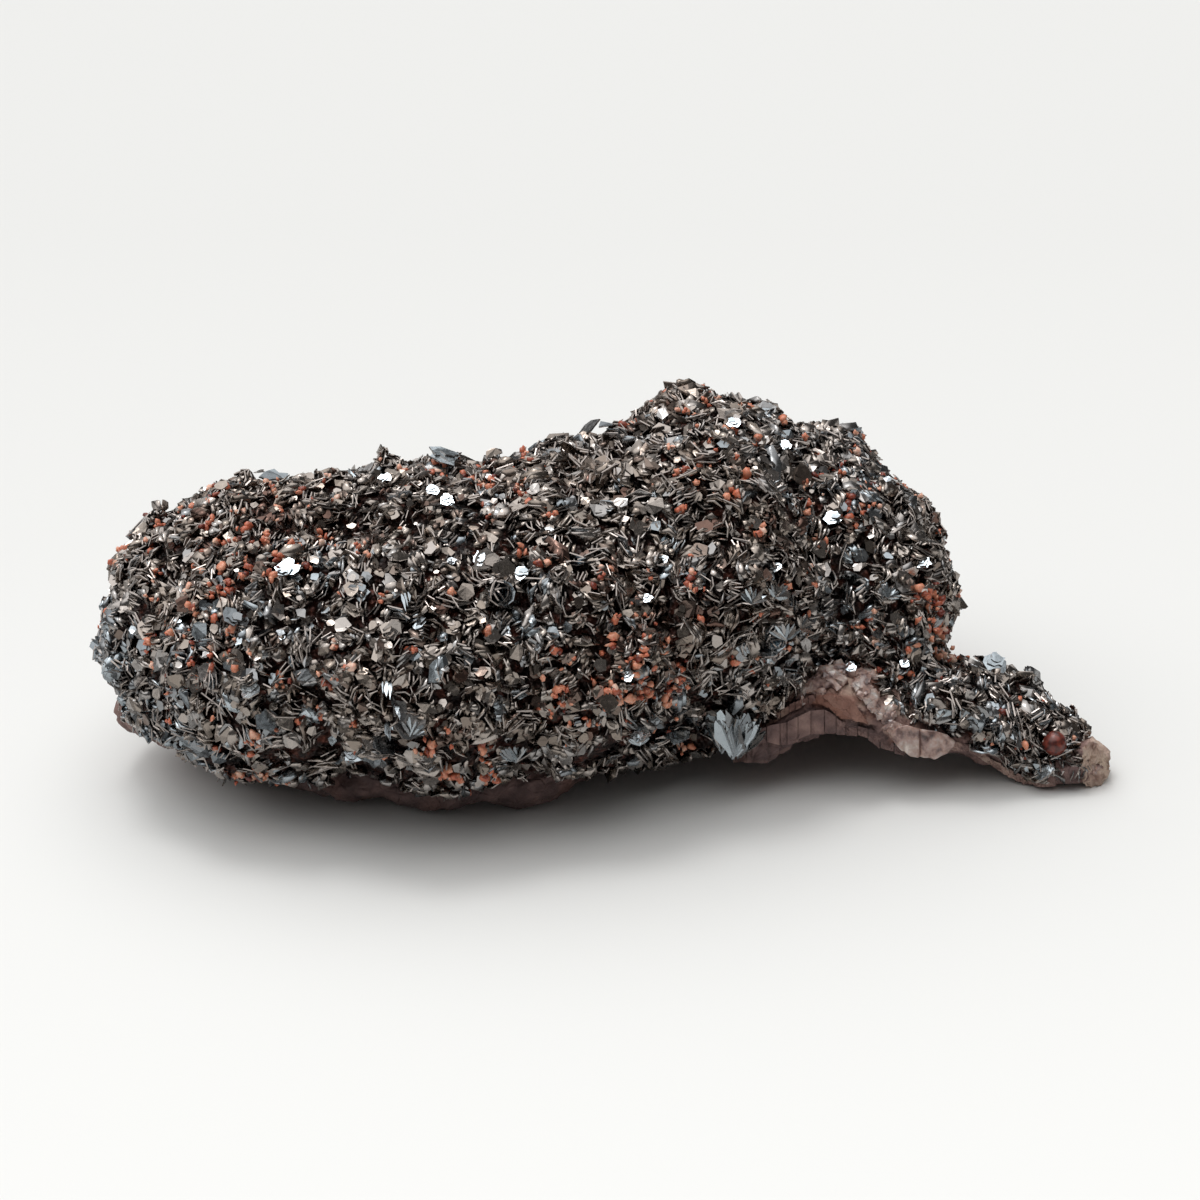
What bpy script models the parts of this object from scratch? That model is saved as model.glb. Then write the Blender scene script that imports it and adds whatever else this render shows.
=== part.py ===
# Specular hematite: a hand specimen about 9 cm long.
#
# Two pieces are modelled, each one closed solid:
#   matrix          the brown host rock underneath, with lumps that it stands on and an arched edge
#   hematite_crust  the mass of hematite grown over it, with its larger blades, all fused together
#
# +X runs along the specimen, from the round lobe to the thin tail. +Y runs to the back and +Z up.
# The lists of lumps are in millimetres, and everything is built in metres.

import math
import random

import bmesh
import bpy
from mathutils import Euler, Matrix, Vector
from mathutils.bvhtree import BVHTree

MM = 0.001

# Fineness of the bodies
VOXEL = 0.9 * MM
CRUST_TRIANGLES = 2300
MATRIX_TRIANGLES = 1600
HOLLOW_TRIANGLES = 200
FINISHED_CRUST_TRIANGLES = 7800

# Relief on the two skins: size of the swellings, and how far they go in and out together
SWELLS = (8.0 * MM, 2.4 * MM)
PITS = (3.6 * MM, 1.7 * MM)
KNOBS = (3.4 * MM, 1.1 * MM)

# Gap between the two solids, and how far the seat is swept down to clear what lies below it
GAP = 0.46 * MM
SEAT_VOXEL = 0.6 * MM
SEAT_TRIANGLES = 1000
SWEEP_STEPS = (0.0, 1.3 * MM, 2.6 * MM, 3.9 * MM, 5.2 * MM)

# Height at which the lowest lumps of the matrix are cut off flat, to stand on
STANDING_PLANE = 0.35 * MM
SLAB_SIDE = 0.2
SLAB_DEPTH = 0.04

# Blades: thin tabular crystals that stand on edge in small parallel books
BOOK_COUNT = 138
BOOK_SPACING = 4.4 * MM
BLADE_WIDTH = (2.6 * MM, 4.2 * MM)
BLADE_HEIGHT = (0.6 * MM, 1.3 * MM)
BLADE_THICKNESS = (0.45 * MM, 0.7 * MM)
BLADE_ROOT = 1.1 * MM
BLADE_STEP = 1.15 * MM
BLADE_SLIP = 0.3 * MM
BLADE_FAN = 9
BLADE_LEAN = 0.33
BLADES_IN_BOOK = (1, 2, 2, 3)
BLADE_CLEAR_OF_MATRIX = 1.9 * MM
SEED = 11

# Colour, roughness and metallic value of the two minerals
HOST_ROCK = ((0.12, 0.065, 0.055), 0.75, 0.0)
HEMATITE = ((0.09, 0.088, 0.09), 0.35, 0.9)

# Outline of a blade's half: (share of the half width, share of the height above the skin)
ROOT_SHARE = 0.8
TIP_SHARE = 0.5
SHOULDER_SHARE = 0.45

# Rosettes: flat plates that lie nearly on the skin and overlap like petals.
# Each is (across, up, radius) in mm, on a plane through VIEW_CENTRE as seen from the front and above.
VIEW_CENTRE = (-0.44, 12.0, 14.85)
VIEW_ELEVATION = 24.5
VIEW_DISTANCE = 257.0
PETALS = 3
PETAL_SIDES = 7
PETAL_RADII = (0.72, 0.66)
PETAL_THICKNESS = 0.5 * MM
PETAL_REACH = 0.35
PETAL_LIFT = 0.1 * MM
PETAL_TILT = 13
ROSETTE_TURN = 47
ROSETTES = [
    (16.2, -2.1, 2.2),
    (13.9, 1.0, 1.7),
    (-9.2, 0.5, 1.8),
    (-17.2, -11.5, 1.7),
    (12.5, -10.6, 1.7),
    (26.6, 1.4, 1.6),
    (-31.6, -8.3, 1.5),
    (-7.7, -13.4, 1.5),
    (3.6, -12.0, 1.4),
    (-14.2, 12.6, 1.4),
]

# Lumps: (x, y, z), (radius x, radius y, radius z), turn about Z in degrees
CRUST_LUMPS = [
    ((-28.2, 8.7, 13.7), (16.4, 18.0, 12.5), 0),
    ((-36.0, 6.5, 12.4), (8.2, 11.0, 8.8), 0),
    ((-37.5, 10.0, 17.2), (6.0, 8.0, 5.0), -25),
    ((-15.5, 8.0, 14.4), (15.0, 20.0, 13.0), 0),
    ((-25.5, 11.0, 21.0), (9.5, 9.0, 6.2), 10),
    ((-15.5, 13.0, 21.8), (8.0, 9.0, 5.8), 0),
    ((-4.5, 10.8, 14.2), (13.0, 19.6, 13.6), 0),
    ((-3.0, 16.0, 22.5), (8.0, 9.0, 5.6), 0),
    ((7.6, 15.5, 15.8), (12.6, 18.0, 15.0), 0),
    ((7.4, 20.0, 25.0), (6.6, 8.4, 6.5), 14),
    ((12.6, 19.5, 24.4), (5.6, 8.5, 6.4), -12),
    ((19.2, 21.0, 13.9), (12.0, 13.4, 13.0), 0),
    ((21.0, 20.0, 19.2), (7.0, 8.0, 6.2), -20),
    ((25.8, 14.8, 11.4), (6.3, 9.6, 9.2), 0),
    ((1.0, 3.8, 5.8), (7.5, 5.0, 3.7), 0),
    ((9.6, 5.6, 6.9), (6.4, 5.4, 3.8), 0),
    ((12.4, 7.0, 9.2), (6.6, 6.0, 4.4), 0),
    ((27.0, 10.2, 7.8), (8.5, 6.4, 3.3), 0),
    ((33.2, 11.0, 5.8), (6.8, 6.2, 2.9), 0),
    ((35.6, 5.8, 4.7), (6.2, 4.2, 2.2), -4),
    ((39.8, 6.8, 4.0), (4.6, 4.6, 2.3), -12),
    ((30.0, 5.4, 8.0), (5.6, 4.4, 2.3), 0),
    ((34.4, 5.2, 5.7), (4.6, 3.7, 2.4), 0),
]
MATRIX_LUMPS = [
    ((-31.0, 9.0, 3.6), (8.5, 9.0, 3.0), 0),
    ((-22.0, 6.0, 3.2), (9.0, 9.0, 2.8), 0),
    ((-24.0, 17.0, 2.9), (8.0, 8.0, 2.9), 0),
    ((-38.0, 9.0, 5.4), (6.0, 6.5, 2.2), 0),
    ((-41.9, 7.9, 6.0), (2.7, 3.6, 1.8), 0),
    ((-15.0, 2.4, 2.8), (7.0, 6.4, 2.8), 0),
    ((-8.2, 2.4, 2.9), (6.5, 5.8, 2.8), 0),
    ((-3.4, 5.2, 3.4), (4.6, 4.8, 2.5), 0),
    ((-12.0, 15.0, 3.4), (12.0, 12.0, 3.0), 0),
    ((2.0, 13.0, 3.0), (10.0, 9.0, 2.6), 0),
    ((10.0, 19.0, 3.8), (12.0, 11.0, 3.2), 0),
    ((8.6, 10.8, 3.8), (6.0, 5.5, 2.4), 0),
    ((21.0, 25.0, 3.2), (9.5, 8.5, 3.2), 0),
    ((13.8, 3.8, 5.3), (2.7, 3.2, 2.3), 0),
    ((13.4, 6.8, 4.2), (3.1, 3.8, 2.3), 0),
    ((16.8, 5.8, 6.6), (3.8, 4.2, 2.7), 0),
    ((21.3, 6.4, 8.1), (5.2, 4.9, 3.0), 0),
    ((26.6, 6.0, 6.2), (4.6, 4.6, 2.4), 0),
    ((31.2, 6.6, 5.2), (4.8, 4.4, 1.9), 0),
    ((36.2, 7.4, 2.9), (4.8, 4.2, 1.8), 0),
    ((41.0, 5.8, 1.8), (4.2, 3.9, 1.9), 0),
    ((44.0, 6.0, 2.0), (2.2, 2.6, 1.8), 0),
    ((28.9, 3.6, 5.0), (2.5, 2.2, 1.7), 0),
]
# Slabs that stick out of the matrix: (x, y, z), radii, and turns about X, Y and Z in degrees
LEDGES = [
    ((21.2, 2.9, 8.6), (2.7, 2.0, 0.6), (14, 31, 0)),
    ((16.2, 3.2, 6.6), (2.4, 1.6, 0.6), (12, -38, 0)),
]
# The hollow under the arched edge
HOLLOW_LUMPS = [
    ((22.6, 6.0, -0.3), (9.4, 12.5, 5.9), 0),
    ((22.0, -3.0, -0.3), (7.0, 9.0, 5.0), 0),
]


def clear_scene():
    for obj in list(bpy.data.objects):
        bpy.data.objects.remove(obj)


def collection(name):
    made = bpy.data.collections.new(name)
    bpy.context.scene.collection.children.link(made)
    return made


def material(name, colour, roughness, metallic):
    made = bpy.data.materials.new(name)
    made.use_nodes = True
    shader = made.node_tree.nodes["Principled BSDF"]
    shader.inputs["Base Color"].default_value = (*colour, 1.0)
    shader.inputs["Roughness"].default_value = roughness
    shader.inputs["Metallic"].default_value = metallic
    return made


def new_object(name, mesh, where):
    obj = bpy.data.objects.new(name, mesh)
    where.objects.link(obj)
    return obj


def lumps_object(name, lumps, where):
    """One mesh of overlapping ellipsoids, still separate shells."""
    bm = bmesh.new()
    for centre, radii, turn in lumps:
        place = Matrix.LocRotScale(
            Vector(centre) * MM,
            Euler((0, 0, math.radians(turn))),
            Vector(radii) * MM,
        )
        bmesh.ops.create_icosphere(bm, subdivisions=4, radius=1, matrix=place)
    mesh = bpy.data.meshes.new(name)
    bm.to_mesh(mesh)
    bm.free()
    return new_object(name, mesh, where)


def add_fusing(obj, voxel, smooth_steps):
    """Fuses the shells into one skin and rounds the creases between them."""
    remesh = obj.modifiers.new("Fuse", "REMESH")
    remesh.mode = "VOXEL"
    remesh.voxel_size = voxel
    smooth = obj.modifiers.new("Round", "SMOOTH")
    smooth.factor = 0.5
    smooth.iterations = smooth_steps


def add_relief(obj, name, kind, relief):
    """Uneven relief of one size, pushed in and out along the normals."""
    size, strength = relief
    texture = bpy.data.textures.new(name, kind)
    texture.noise_scale = size
    displace = obj.modifiers.new(name, "DISPLACE")
    displace.texture = texture
    displace.texture_coords = "LOCAL"
    displace.strength = strength
    displace.mid_level = 0.5


def add_decimate(obj, triangles):
    """Thins the skin to about this many triangles, which leaves flat crystal-like facets."""
    made = evaluated_triangles(obj)
    decimate = obj.modifiers.new("Facet", "DECIMATE")
    decimate.ratio = min(1.0, triangles / made)
    decimate.use_collapse_triangulate = True


def evaluated_triangles(obj):
    mesh = obj.evaluated_get(bpy.context.evaluated_depsgraph_get()).data
    mesh.calc_loop_triangles()
    return len(mesh.loop_triangles)


def apply_modifiers(obj):
    graph = bpy.context.evaluated_depsgraph_get()
    mesh = bpy.data.meshes.new_from_object(obj.evaluated_get(graph))
    obj.modifiers.clear()
    obj.data = mesh


def add_boolean(obj, other, operation, name):
    boolean = obj.modifiers.new(name, "BOOLEAN")
    boolean.operation = operation
    boolean.solver = "EXACT"
    boolean.use_self = operation == "UNION"
    boolean.object = other


def keep_as_helper(obj):
    obj.hide_render = True
    obj.display_type = "WIRE"


def keep_largest_body(obj):
    """Removes the chips that a cut leaves loose."""
    bm = bmesh.new()
    bm.from_mesh(obj.data)
    unseen = set(bm.verts)
    bodies = []
    while unseen:
        stack = [unseen.pop()]
        body = []
        while stack:
            vertex = stack.pop()
            body.append(vertex)
            for edge in vertex.link_edges:
                other = edge.other_vert(vertex)
                if other in unseen:
                    unseen.remove(other)
                    stack.append(other)
        bodies.append(body)
    bodies.sort(key=len, reverse=True)
    loose = [vertex for body in bodies[1:] for vertex in body]
    bmesh.ops.delete(bm, geom=loose, context="VERTS")
    bm.to_mesh(obj.data)
    bm.free()


def surface_tree(obj):
    bm = bmesh.new()
    bm.from_mesh(obj.data)
    tree = BVHTree.FromBMesh(bm)
    bm.free()
    return tree


def random_surface_points(obj, count, spacing, draw):
    """Points with their normals, spread over the skin by area and kept apart."""
    faces = list(obj.data.polygons)
    areas = [face.area for face in faces]
    chosen = []
    for face in draw.choices(faces, areas, k=count * 40):
        if len(chosen) == count:
            break
        point = face.center.copy()
        if all((point - other).length > spacing for other, _ in chosen):
            chosen.append((point, face.normal.copy()))
    return chosen


def add_blade(bm, frame, width, height, thickness):
    """A tabular crystal: the upper part of a six-sided plate, standing in frame's XZ plane on its root."""
    half = width / 2
    shoulder = height * SHOULDER_SHARE
    outline = [
        (-half * ROOT_SHARE, -BLADE_ROOT),
        (half * ROOT_SHARE, -BLADE_ROOT),
        (half, shoulder),
        (half * TIP_SHARE, height),
        (-half * TIP_SHARE, height),
        (-half, shoulder),
    ]
    front = [bm.verts.new(frame @ Vector((x, -thickness / 2, z))) for x, z in outline]
    face = bm.faces.new(front)
    grown = bmesh.ops.extrude_face_region(bm, geom=[face])
    moved = [item for item in grown["geom"] if isinstance(item, bmesh.types.BMVert)]
    across = (frame.to_3x3() @ Vector((0, 1, 0))) * thickness
    bmesh.ops.translate(bm, verts=moved, vec=across)


def blade_frame(point, normal, draw):
    """The blade's upright axis leans off the normal, and its flat side faces a drawn way."""
    lean = Vector([draw.gauss(0, BLADE_LEAN) for _ in range(3)])
    up = (normal + lean).normalized()
    side = up.cross(Vector([draw.gauss(0, 1) for _ in range(3)])).normalized()
    flat = up.cross(side)
    turn = Matrix((side, flat, up)).transposed().to_4x4()
    return Matrix.Translation(point) @ turn


def add_rosettes(bm, skin_tree):
    """Overlapping petals at each listed place, found on the skin along the line of sight."""
    rise = math.radians(VIEW_ELEVATION)
    ahead = Vector((0, math.cos(rise), -math.sin(rise)))
    upward = Vector((0, math.sin(rise), math.cos(rise)))
    centre = Vector(VIEW_CENTRE) * MM
    eye = centre - ahead * VIEW_DISTANCE * MM
    for number, (across, up, radius) in enumerate(ROSETTES):
        aim = centre + Vector((across * MM, 0, 0)) + upward * up * MM
        point, normal, _, _ = skin_tree.ray_cast(eye, (aim - eye).normalized())
        facing = (normal - ahead).to_track_quat("Z", "Y").to_matrix().to_4x4()
        for petal in range(PETALS):
            turn = math.radians(360 / PETALS * petal + ROSETTE_TURN * number)
            way = Matrix.Rotation(turn, 4, "Z")
            tilt = Matrix.Rotation(math.radians(PETAL_TILT), 4, "X")
            lift = PETAL_LIFT * (petal + 1)
            shift = Matrix.Translation((0, radius * PETAL_REACH * MM, lift))
            bmesh.ops.create_cone(
                bm,
                cap_ends=True,
                segments=PETAL_SIDES,
                radius1=radius * PETAL_RADII[0] * MM,
                radius2=radius * PETAL_RADII[1] * MM,
                depth=PETAL_THICKNESS,
                matrix=Matrix.Translation(point) @ facing @ way @ shift @ tilt,
            )


def blades_object(skin, matrix_tree, where):
    """All the blades in one mesh, in books of one to three, clear of the matrix."""
    draw = random.Random(SEED)
    bm = bmesh.new()
    add_rosettes(bm, surface_tree(skin))
    for point, normal in random_surface_points(skin, BOOK_COUNT, BOOK_SPACING, draw):
        nearest = matrix_tree.find_nearest(point)
        if nearest[0] is not None and nearest[3] < BLADE_CLEAR_OF_MATRIX:
            continue
        frame = blade_frame(point, normal, draw)
        blades = draw.choice(BLADES_IN_BOOK)
        for number in range(blades):
            place = number - (blades - 1) / 2
            shift = Matrix.Translation((draw.gauss(0, BLADE_SLIP), place * BLADE_STEP, 0))
            fan = Matrix.Rotation(math.radians(BLADE_FAN) * place, 4, "X")
            add_blade(
                bm,
                frame @ shift @ fan,
                draw.uniform(*BLADE_WIDTH),
                draw.uniform(*BLADE_HEIGHT),
                draw.uniform(*BLADE_THICKNESS),
            )
    bmesh.ops.recalc_face_normals(bm, faces=bm.faces[:])
    mesh = bpy.data.meshes.new("blades")
    bm.to_mesh(mesh)
    bm.free()
    return new_object("blades", mesh, where)


def seat_cutter(obj, where):
    """The room that the matrix takes: its skin pushed out by the gap and swept straight down."""
    inflated = obj.data.copy()
    normals = [vertex.normal.copy() for vertex in inflated.vertices]
    for vertex, normal in zip(inflated.vertices, normals):
        vertex.co += normal * GAP
    bm = bmesh.new()
    for drop in SWEEP_STEPS:
        first = len(bm.verts)
        bm.from_mesh(inflated)
        bm.verts.ensure_lookup_table()
        bmesh.ops.translate(bm, verts=bm.verts[first:], vec=Vector((0, 0, -drop)))
    mesh = bpy.data.meshes.new("seat_cutter")
    bm.to_mesh(mesh)
    bm.free()
    made = new_object("seat_cutter", mesh, where)
    add_fusing(made, SEAT_VOXEL, 1)
    apply_modifiers(made)
    add_decimate(made, SEAT_TRIANGLES)
    apply_modifiers(made)
    keep_as_helper(made)
    return made


def floor_cutter(height, where):
    """A slab whose top is the plane that the specimen stands on."""
    bm = bmesh.new()
    slab = Matrix.LocRotScale(
        Vector((0, 0, height - SLAB_DEPTH / 2)),
        None,
        Vector((SLAB_SIDE, SLAB_SIDE, SLAB_DEPTH)),
    )
    bmesh.ops.create_cube(bm, size=1, matrix=slab)
    mesh = bpy.data.meshes.new("floor_cutter")
    bm.to_mesh(mesh)
    bm.free()
    made = new_object("floor_cutter", mesh, where)
    keep_as_helper(made)
    return made


def ledges_object(where):
    """Thin slabs, pointed at both ends."""
    bm = bmesh.new()
    for centre, radii, turns in LEDGES:
        place = Matrix.LocRotScale(
            Vector(centre) * MM,
            Euler([math.radians(angle) for angle in turns]),
            Vector(radii) * MM,
        )
        bmesh.ops.create_icosphere(bm, subdivisions=2, radius=1, matrix=place)
    mesh = bpy.data.meshes.new("ledges")
    bm.to_mesh(mesh)
    bm.free()
    made = new_object("ledges", mesh, where)
    keep_as_helper(made)
    return made


def build_matrix(parts, helpers):
    """The brown host crust: fused lumps, hollowed under the arch and cut flat where it stands."""
    hollow = lumps_object("hollow", HOLLOW_LUMPS, helpers)
    add_fusing(hollow, VOXEL, 4)
    apply_modifiers(hollow)
    add_decimate(hollow, HOLLOW_TRIANGLES)
    apply_modifiers(hollow)
    keep_as_helper(hollow)

    matrix = lumps_object("matrix", MATRIX_LUMPS, parts)
    add_fusing(matrix, VOXEL, 3)
    add_relief(matrix, "Knobs", "CLOUDS", KNOBS)
    apply_modifiers(matrix)
    add_decimate(matrix, MATRIX_TRIANGLES)
    add_boolean(matrix, ledges_object(helpers), "UNION", "Ledges")
    apply_modifiers(matrix)
    seat = seat_cutter(matrix, helpers)
    add_boolean(matrix, hollow, "DIFFERENCE", "Hollow")
    floor = floor_cutter(STANDING_PLANE, helpers)
    add_boolean(matrix, floor, "DIFFERENCE", "Stand")
    apply_modifiers(matrix)
    keep_largest_body(matrix)
    matrix.data.materials.append(material("Brown host rock", *HOST_ROCK))
    return matrix, [seat, hollow, floor]


def build_crust(matrix, cutters, parts, helpers):
    """The hematite: a lumpy mass with fused blades, cut to sit on the matrix with a small gap."""
    crust = lumps_object("hematite_crust", CRUST_LUMPS, parts)
    add_fusing(crust, VOXEL, 6)
    add_relief(crust, "Swells", "CLOUDS", SWELLS)
    add_relief(crust, "Pits", "VORONOI", PITS)
    apply_modifiers(crust)
    add_decimate(crust, CRUST_TRIANGLES)
    apply_modifiers(crust)

    blades = blades_object(crust, surface_tree(matrix), helpers)
    keep_as_helper(blades)
    add_boolean(crust, blades, "UNION", "Blades")
    for cutter in cutters:
        add_boolean(crust, cutter, "DIFFERENCE", cutter.name)
    apply_modifiers(crust)
    keep_largest_body(crust)
    add_decimate(crust, FINISHED_CRUST_TRIANGLES)
    apply_modifiers(crust)
    crust.data.materials.append(material("Specular hematite", *HEMATITE))
    return crust


def centre_on_floor(objects):
    """Puts the origin below the middle of the bounding box, at the height of the standing plane."""
    bpy.context.view_layer.update()
    corners = [obj.matrix_world @ Vector(c) for obj in objects for c in obj.bound_box]
    low = Vector([min(c[axis] for c in corners) for axis in range(3)])
    high = Vector([max(c[axis] for c in corners) for axis in range(3)])
    shift = Vector((-(low.x + high.x) / 2, -(low.y + high.y) / 2, -low.z))
    for obj in objects:
        obj.location = shift
    print("shift in mm:", [round(v / MM, 3) for v in shift])
    print("size in mm:", [round(v / MM, 2) for v in high - low])


def main():
    clear_scene()
    parts = collection("specular hematite")
    helpers = collection("helpers")
    matrix, cutters = build_matrix(parts, helpers)
    crust = build_crust(matrix, cutters, parts, helpers)
    centre_on_floor([matrix, crust])


main()
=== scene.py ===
import math

import bmesh
import bpy
import numpy as np
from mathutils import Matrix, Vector
from mathutils.bvhtree import BVHTree


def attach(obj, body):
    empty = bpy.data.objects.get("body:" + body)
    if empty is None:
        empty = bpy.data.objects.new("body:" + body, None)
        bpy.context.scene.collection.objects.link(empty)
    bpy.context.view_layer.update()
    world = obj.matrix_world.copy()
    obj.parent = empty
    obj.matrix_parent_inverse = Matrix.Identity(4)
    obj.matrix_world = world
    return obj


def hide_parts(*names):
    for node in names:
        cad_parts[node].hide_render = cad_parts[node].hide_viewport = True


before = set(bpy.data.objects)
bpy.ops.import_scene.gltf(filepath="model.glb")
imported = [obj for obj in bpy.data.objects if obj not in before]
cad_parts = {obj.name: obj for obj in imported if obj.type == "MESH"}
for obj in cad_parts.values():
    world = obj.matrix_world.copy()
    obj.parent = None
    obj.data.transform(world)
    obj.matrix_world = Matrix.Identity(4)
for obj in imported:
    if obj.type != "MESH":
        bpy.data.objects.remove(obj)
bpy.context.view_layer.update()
rng = np.random.default_rng(41)
mm = 0.001
upAxis = np.array((0.0, 0.0, 1.0))

# Camera of the photograph. Pixels below are counted in its 1200 x 1200 frame.
photoView = dict(
    target=(-0.388, 0.591, 14.5),
    elevation=24.5,
    distance=257.0,
    lens=85.0,
    sensor=36.0,
    side=1200,
)
elevation = math.radians(photoView["elevation"])
forward = np.array((0.0, math.cos(elevation), -math.sin(elevation)))
viewRight = np.array((1.0, 0.0, 0.0))
viewUp = np.array((0.0, math.sin(elevation), math.cos(elevation)))
cameraPlace = np.array(photoView["target"]) - forward * photoView["distance"]
focal = photoView["side"] * photoView["lens"] / photoView["sensor"]
middle = photoView["side"] / 2

# Light: a large soft box above and a little behind the specimen in a dim room, and a small lamp in it
studio = dict(
    sunFrom=(-0.2, 0.2, 0.95),
    sunStrength=0.6,
    sunAngle=18,
    boxFrom=(-0.34, 0.14, 0.93),
    boxEdge=(0.46, 0.84),
    boxStrength=2.3,
    roomStrength=0.15,
    # floor tones, darker behind: painted shade for the light falling off further back
    floorStops=[(0.0, "#dcdcda"), (0.45, "#e0e0de"), (1.0, "#e9e9e7")],
    floorFade=(0.16, -0.09),
    floorSize=6.0,
)
sunFrom = np.array(studio["sunFrom"])
sunFrom = sunFrom / np.linalg.norm(sunFrom)


# Each row of an array, made one long
def unit(rows):
    return rows / np.maximum(np.linalg.norm(rows, axis=-1, keepdims=True), 1e-12)


# Direction at an angle from a first one towards a second: first * cos + second * sin
def turned(first, second, angle):
    return first * np.cos(angle) + second * np.sin(angle)


# Straight step from 0 to 1 of a value between two ends: (value - start) / (end - start)
def between(value, start, end):
    return np.clip((value - start) / (end - start), 0, 1)


# The same step s with soft ends: s * s * (3 - 2 s)
def smoothStep(value, start, end):
    part = between(value, start, end)
    return part * part * (3 - 2 * part)


# Two directions along the surface for each normal, square to it and to each other
def tangents(normals):
    steep = np.abs(normals[:, 2:3]) > 0.9
    helper = np.where(steep, np.array((0.0, 1.0, 0.0)), upAxis)
    first = unit(np.cross(helper, normals))
    return first, np.cross(normals, first)


# Repeatable number from 0 to 1 for each corner of a lattice: its whole coordinates mixed
def cornerNumber(corner, seed):
    x, y, z = np.moveaxis(corner.astype(np.int64), -1, 0)
    n = (x * 374761393 + y * 668265263 + z * 1103515245 + seed * 974634777) & 0xFFFFFFFF
    n = ((n ^ (n >> 13)) * 1274126177) & 0xFFFFFFFF
    return ((n ^ (n >> 16)) & 0xFFFF) / 65535.0


# Value blended from a lattice cell's eight corners, each weighted by how near it is on every side
def blended(cell, part, cornerValue):
    total = 0
    for corner in np.ndindex(2, 2, 2):
        total = total + np.abs(1 - np.array(corner) - part).prod(1) * cornerValue(cell + corner)
    return total


# Smooth noise from -1 to 1: corner numbers of a lattice of that size, blended with a smooth step
def smoothNoise(points, size, seed):
    cell = np.floor(points / size)
    part = points / size - cell
    part = part * part * (3 - 2 * part)
    return 2 * blended(cell, part, lambda corner: cornerNumber(corner, seed)) - 1


# Sum of smooth noises, each half the size and strength of the one before
def roughNoise(points, size, seed, octaves=3):
    return sum(smoothNoise(points, size / 2**k, seed + k) / 2**k for k in range(octaves))


# Cell noise: distances to the nearest and second nearest of one jittered point per lattice cell,
# in cell sizes, and a number of its own for each cell
def cellNoise(points, size, seed):
    base = np.floor(points / size)
    nearest = np.full(len(points), 9.0)
    second = nearest.copy()
    own = np.zeros(len(points))
    for step in np.ndindex(3, 3, 3):
        corner = base + (np.array(step) - 1)
        jitter = [cornerNumber(corner, seed + k) for k in range(3)]
        gap = np.linalg.norm(corner + np.stack(jitter, 1) - points / size, axis=1)
        closer = gap < nearest
        second = np.where(closer, nearest, np.minimum(second, gap))
        own = np.where(closer, cornerNumber(corner, seed + 7), own)
        nearest = np.where(closer, gap, nearest)
    return nearest, second, own


# sRGB hex colour as linear red, green, blue and alpha
def fromHex(text):
    parts = [int(text[k:k + 2], 16) / 255 for k in (1, 3, 5)]
    linear = [p / 12.92 if p <= 0.04045 else ((p + 0.055) / 1.055) ** 2.4 for p in parts]
    return (*linear, 1.0)


# Adds an object to the scene
def addObject(name, data):
    made = bpy.data.objects.new(name, data)
    bpy.context.scene.collection.objects.link(made)
    return made


# Adds a node with its settings, its sockets' values and its links
def addNode(material, kind, settings=None, values=None, links=None):
    tree = material.node_tree
    node = tree.nodes.new("ShaderNode" + kind)
    for name, value in (settings or {}).items():
        setattr(node, name, value)
    for name, value in (values or {}).items():
        node.inputs[name].default_value = value
    for name, source in (links or {}).items():
        tree.links.new(source, node.inputs[name])
    return node


# Colour ramp through (place, hex) stops
def addRamp(material, stops, source):
    node = addNode(material, "ValToRGB", links={"Fac": source})
    points = node.color_ramp.elements
    while len(points) < len(stops):
        points.new(0.5)
    for point, (place, colour) in zip(points, stops):
        point.position = place
        point.color = fromHex(colour)
    return node.outputs["Color"]


# A piece's own number, painted on it under this name
def addNumber(material, name):
    return addNode(material, "Attribute", {"attribute_name": name}).outputs["Fac"]


# Texture with features of a size in mm over the piece's own coordinates
def addTexture(material, kind, size, settings=None, **values):
    place = addNode(material, "TexCoord").outputs["Object"]
    values["Scale"] = 1 / (size * mm)
    return addNode(material, "Tex" + kind, settings, values, {"Vector": place})


# Noise from 0 to 1 with features of a size in mm
def addNoise(material, size, detail):
    return addTexture(material, "Noise", size, Detail=detail).outputs["Fac"]


# A range of a number stretched to another
def addRange(material, source, low, high, start=0.0, end=1.0, settings=None):
    values = {"From Min": low, "From Max": high, "To Min": start, "To Max": end}
    return addNode(material, "MapRange", settings, values, {"Value": source}).outputs[0]


# Sum or product of numbers, by the name of the operation
def addMath(material, operation, values, links, clamp=False):
    return addNode(material, "Math", {"operation": operation, "use_clamp": clamp}, values, links).outputs[0]


# A number mottled with noise, between 0 and 1: number + strength * (noise - 0.5)
def addMottle(material, number, noise, strength):
    shifted = addMath(material, "MULTIPLY_ADD", {1: strength, 2: -strength / 2}, {0: noise})
    return addMath(material, "ADD", None, {0: number, 1: shifted}, True)


# Colour mixed towards a hex colour by a share
def addMix(material, share, source, colour):
    links = {0: share, 6: source}
    return addNode(material, "Mix", {"data_type": "RGBA"}, {7: fromHex(colour)}, links).outputs[2]


# Small relief: strength, depth in mm and the height's source
def addBump(material, strength, depth, height):
    values = {"Strength": strength, "Distance": depth * mm}
    return addNode(material, "Bump", None, values, {"Height": height}).outputs[0]


# An empty material, to which nodes are added
def startMaterial(name):
    material = bpy.data.materials.new(name)
    material.use_nodes = True
    material.node_tree.nodes.clear()
    return material


# The shader with its values and links, which ends a material
def endMaterial(material, values, links):
    shader = addNode(material, "BsdfPrincipled", None, values, links)
    addNode(material, "OutputMaterial", links={"Surface": shader.outputs[0]})
    return material


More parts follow.
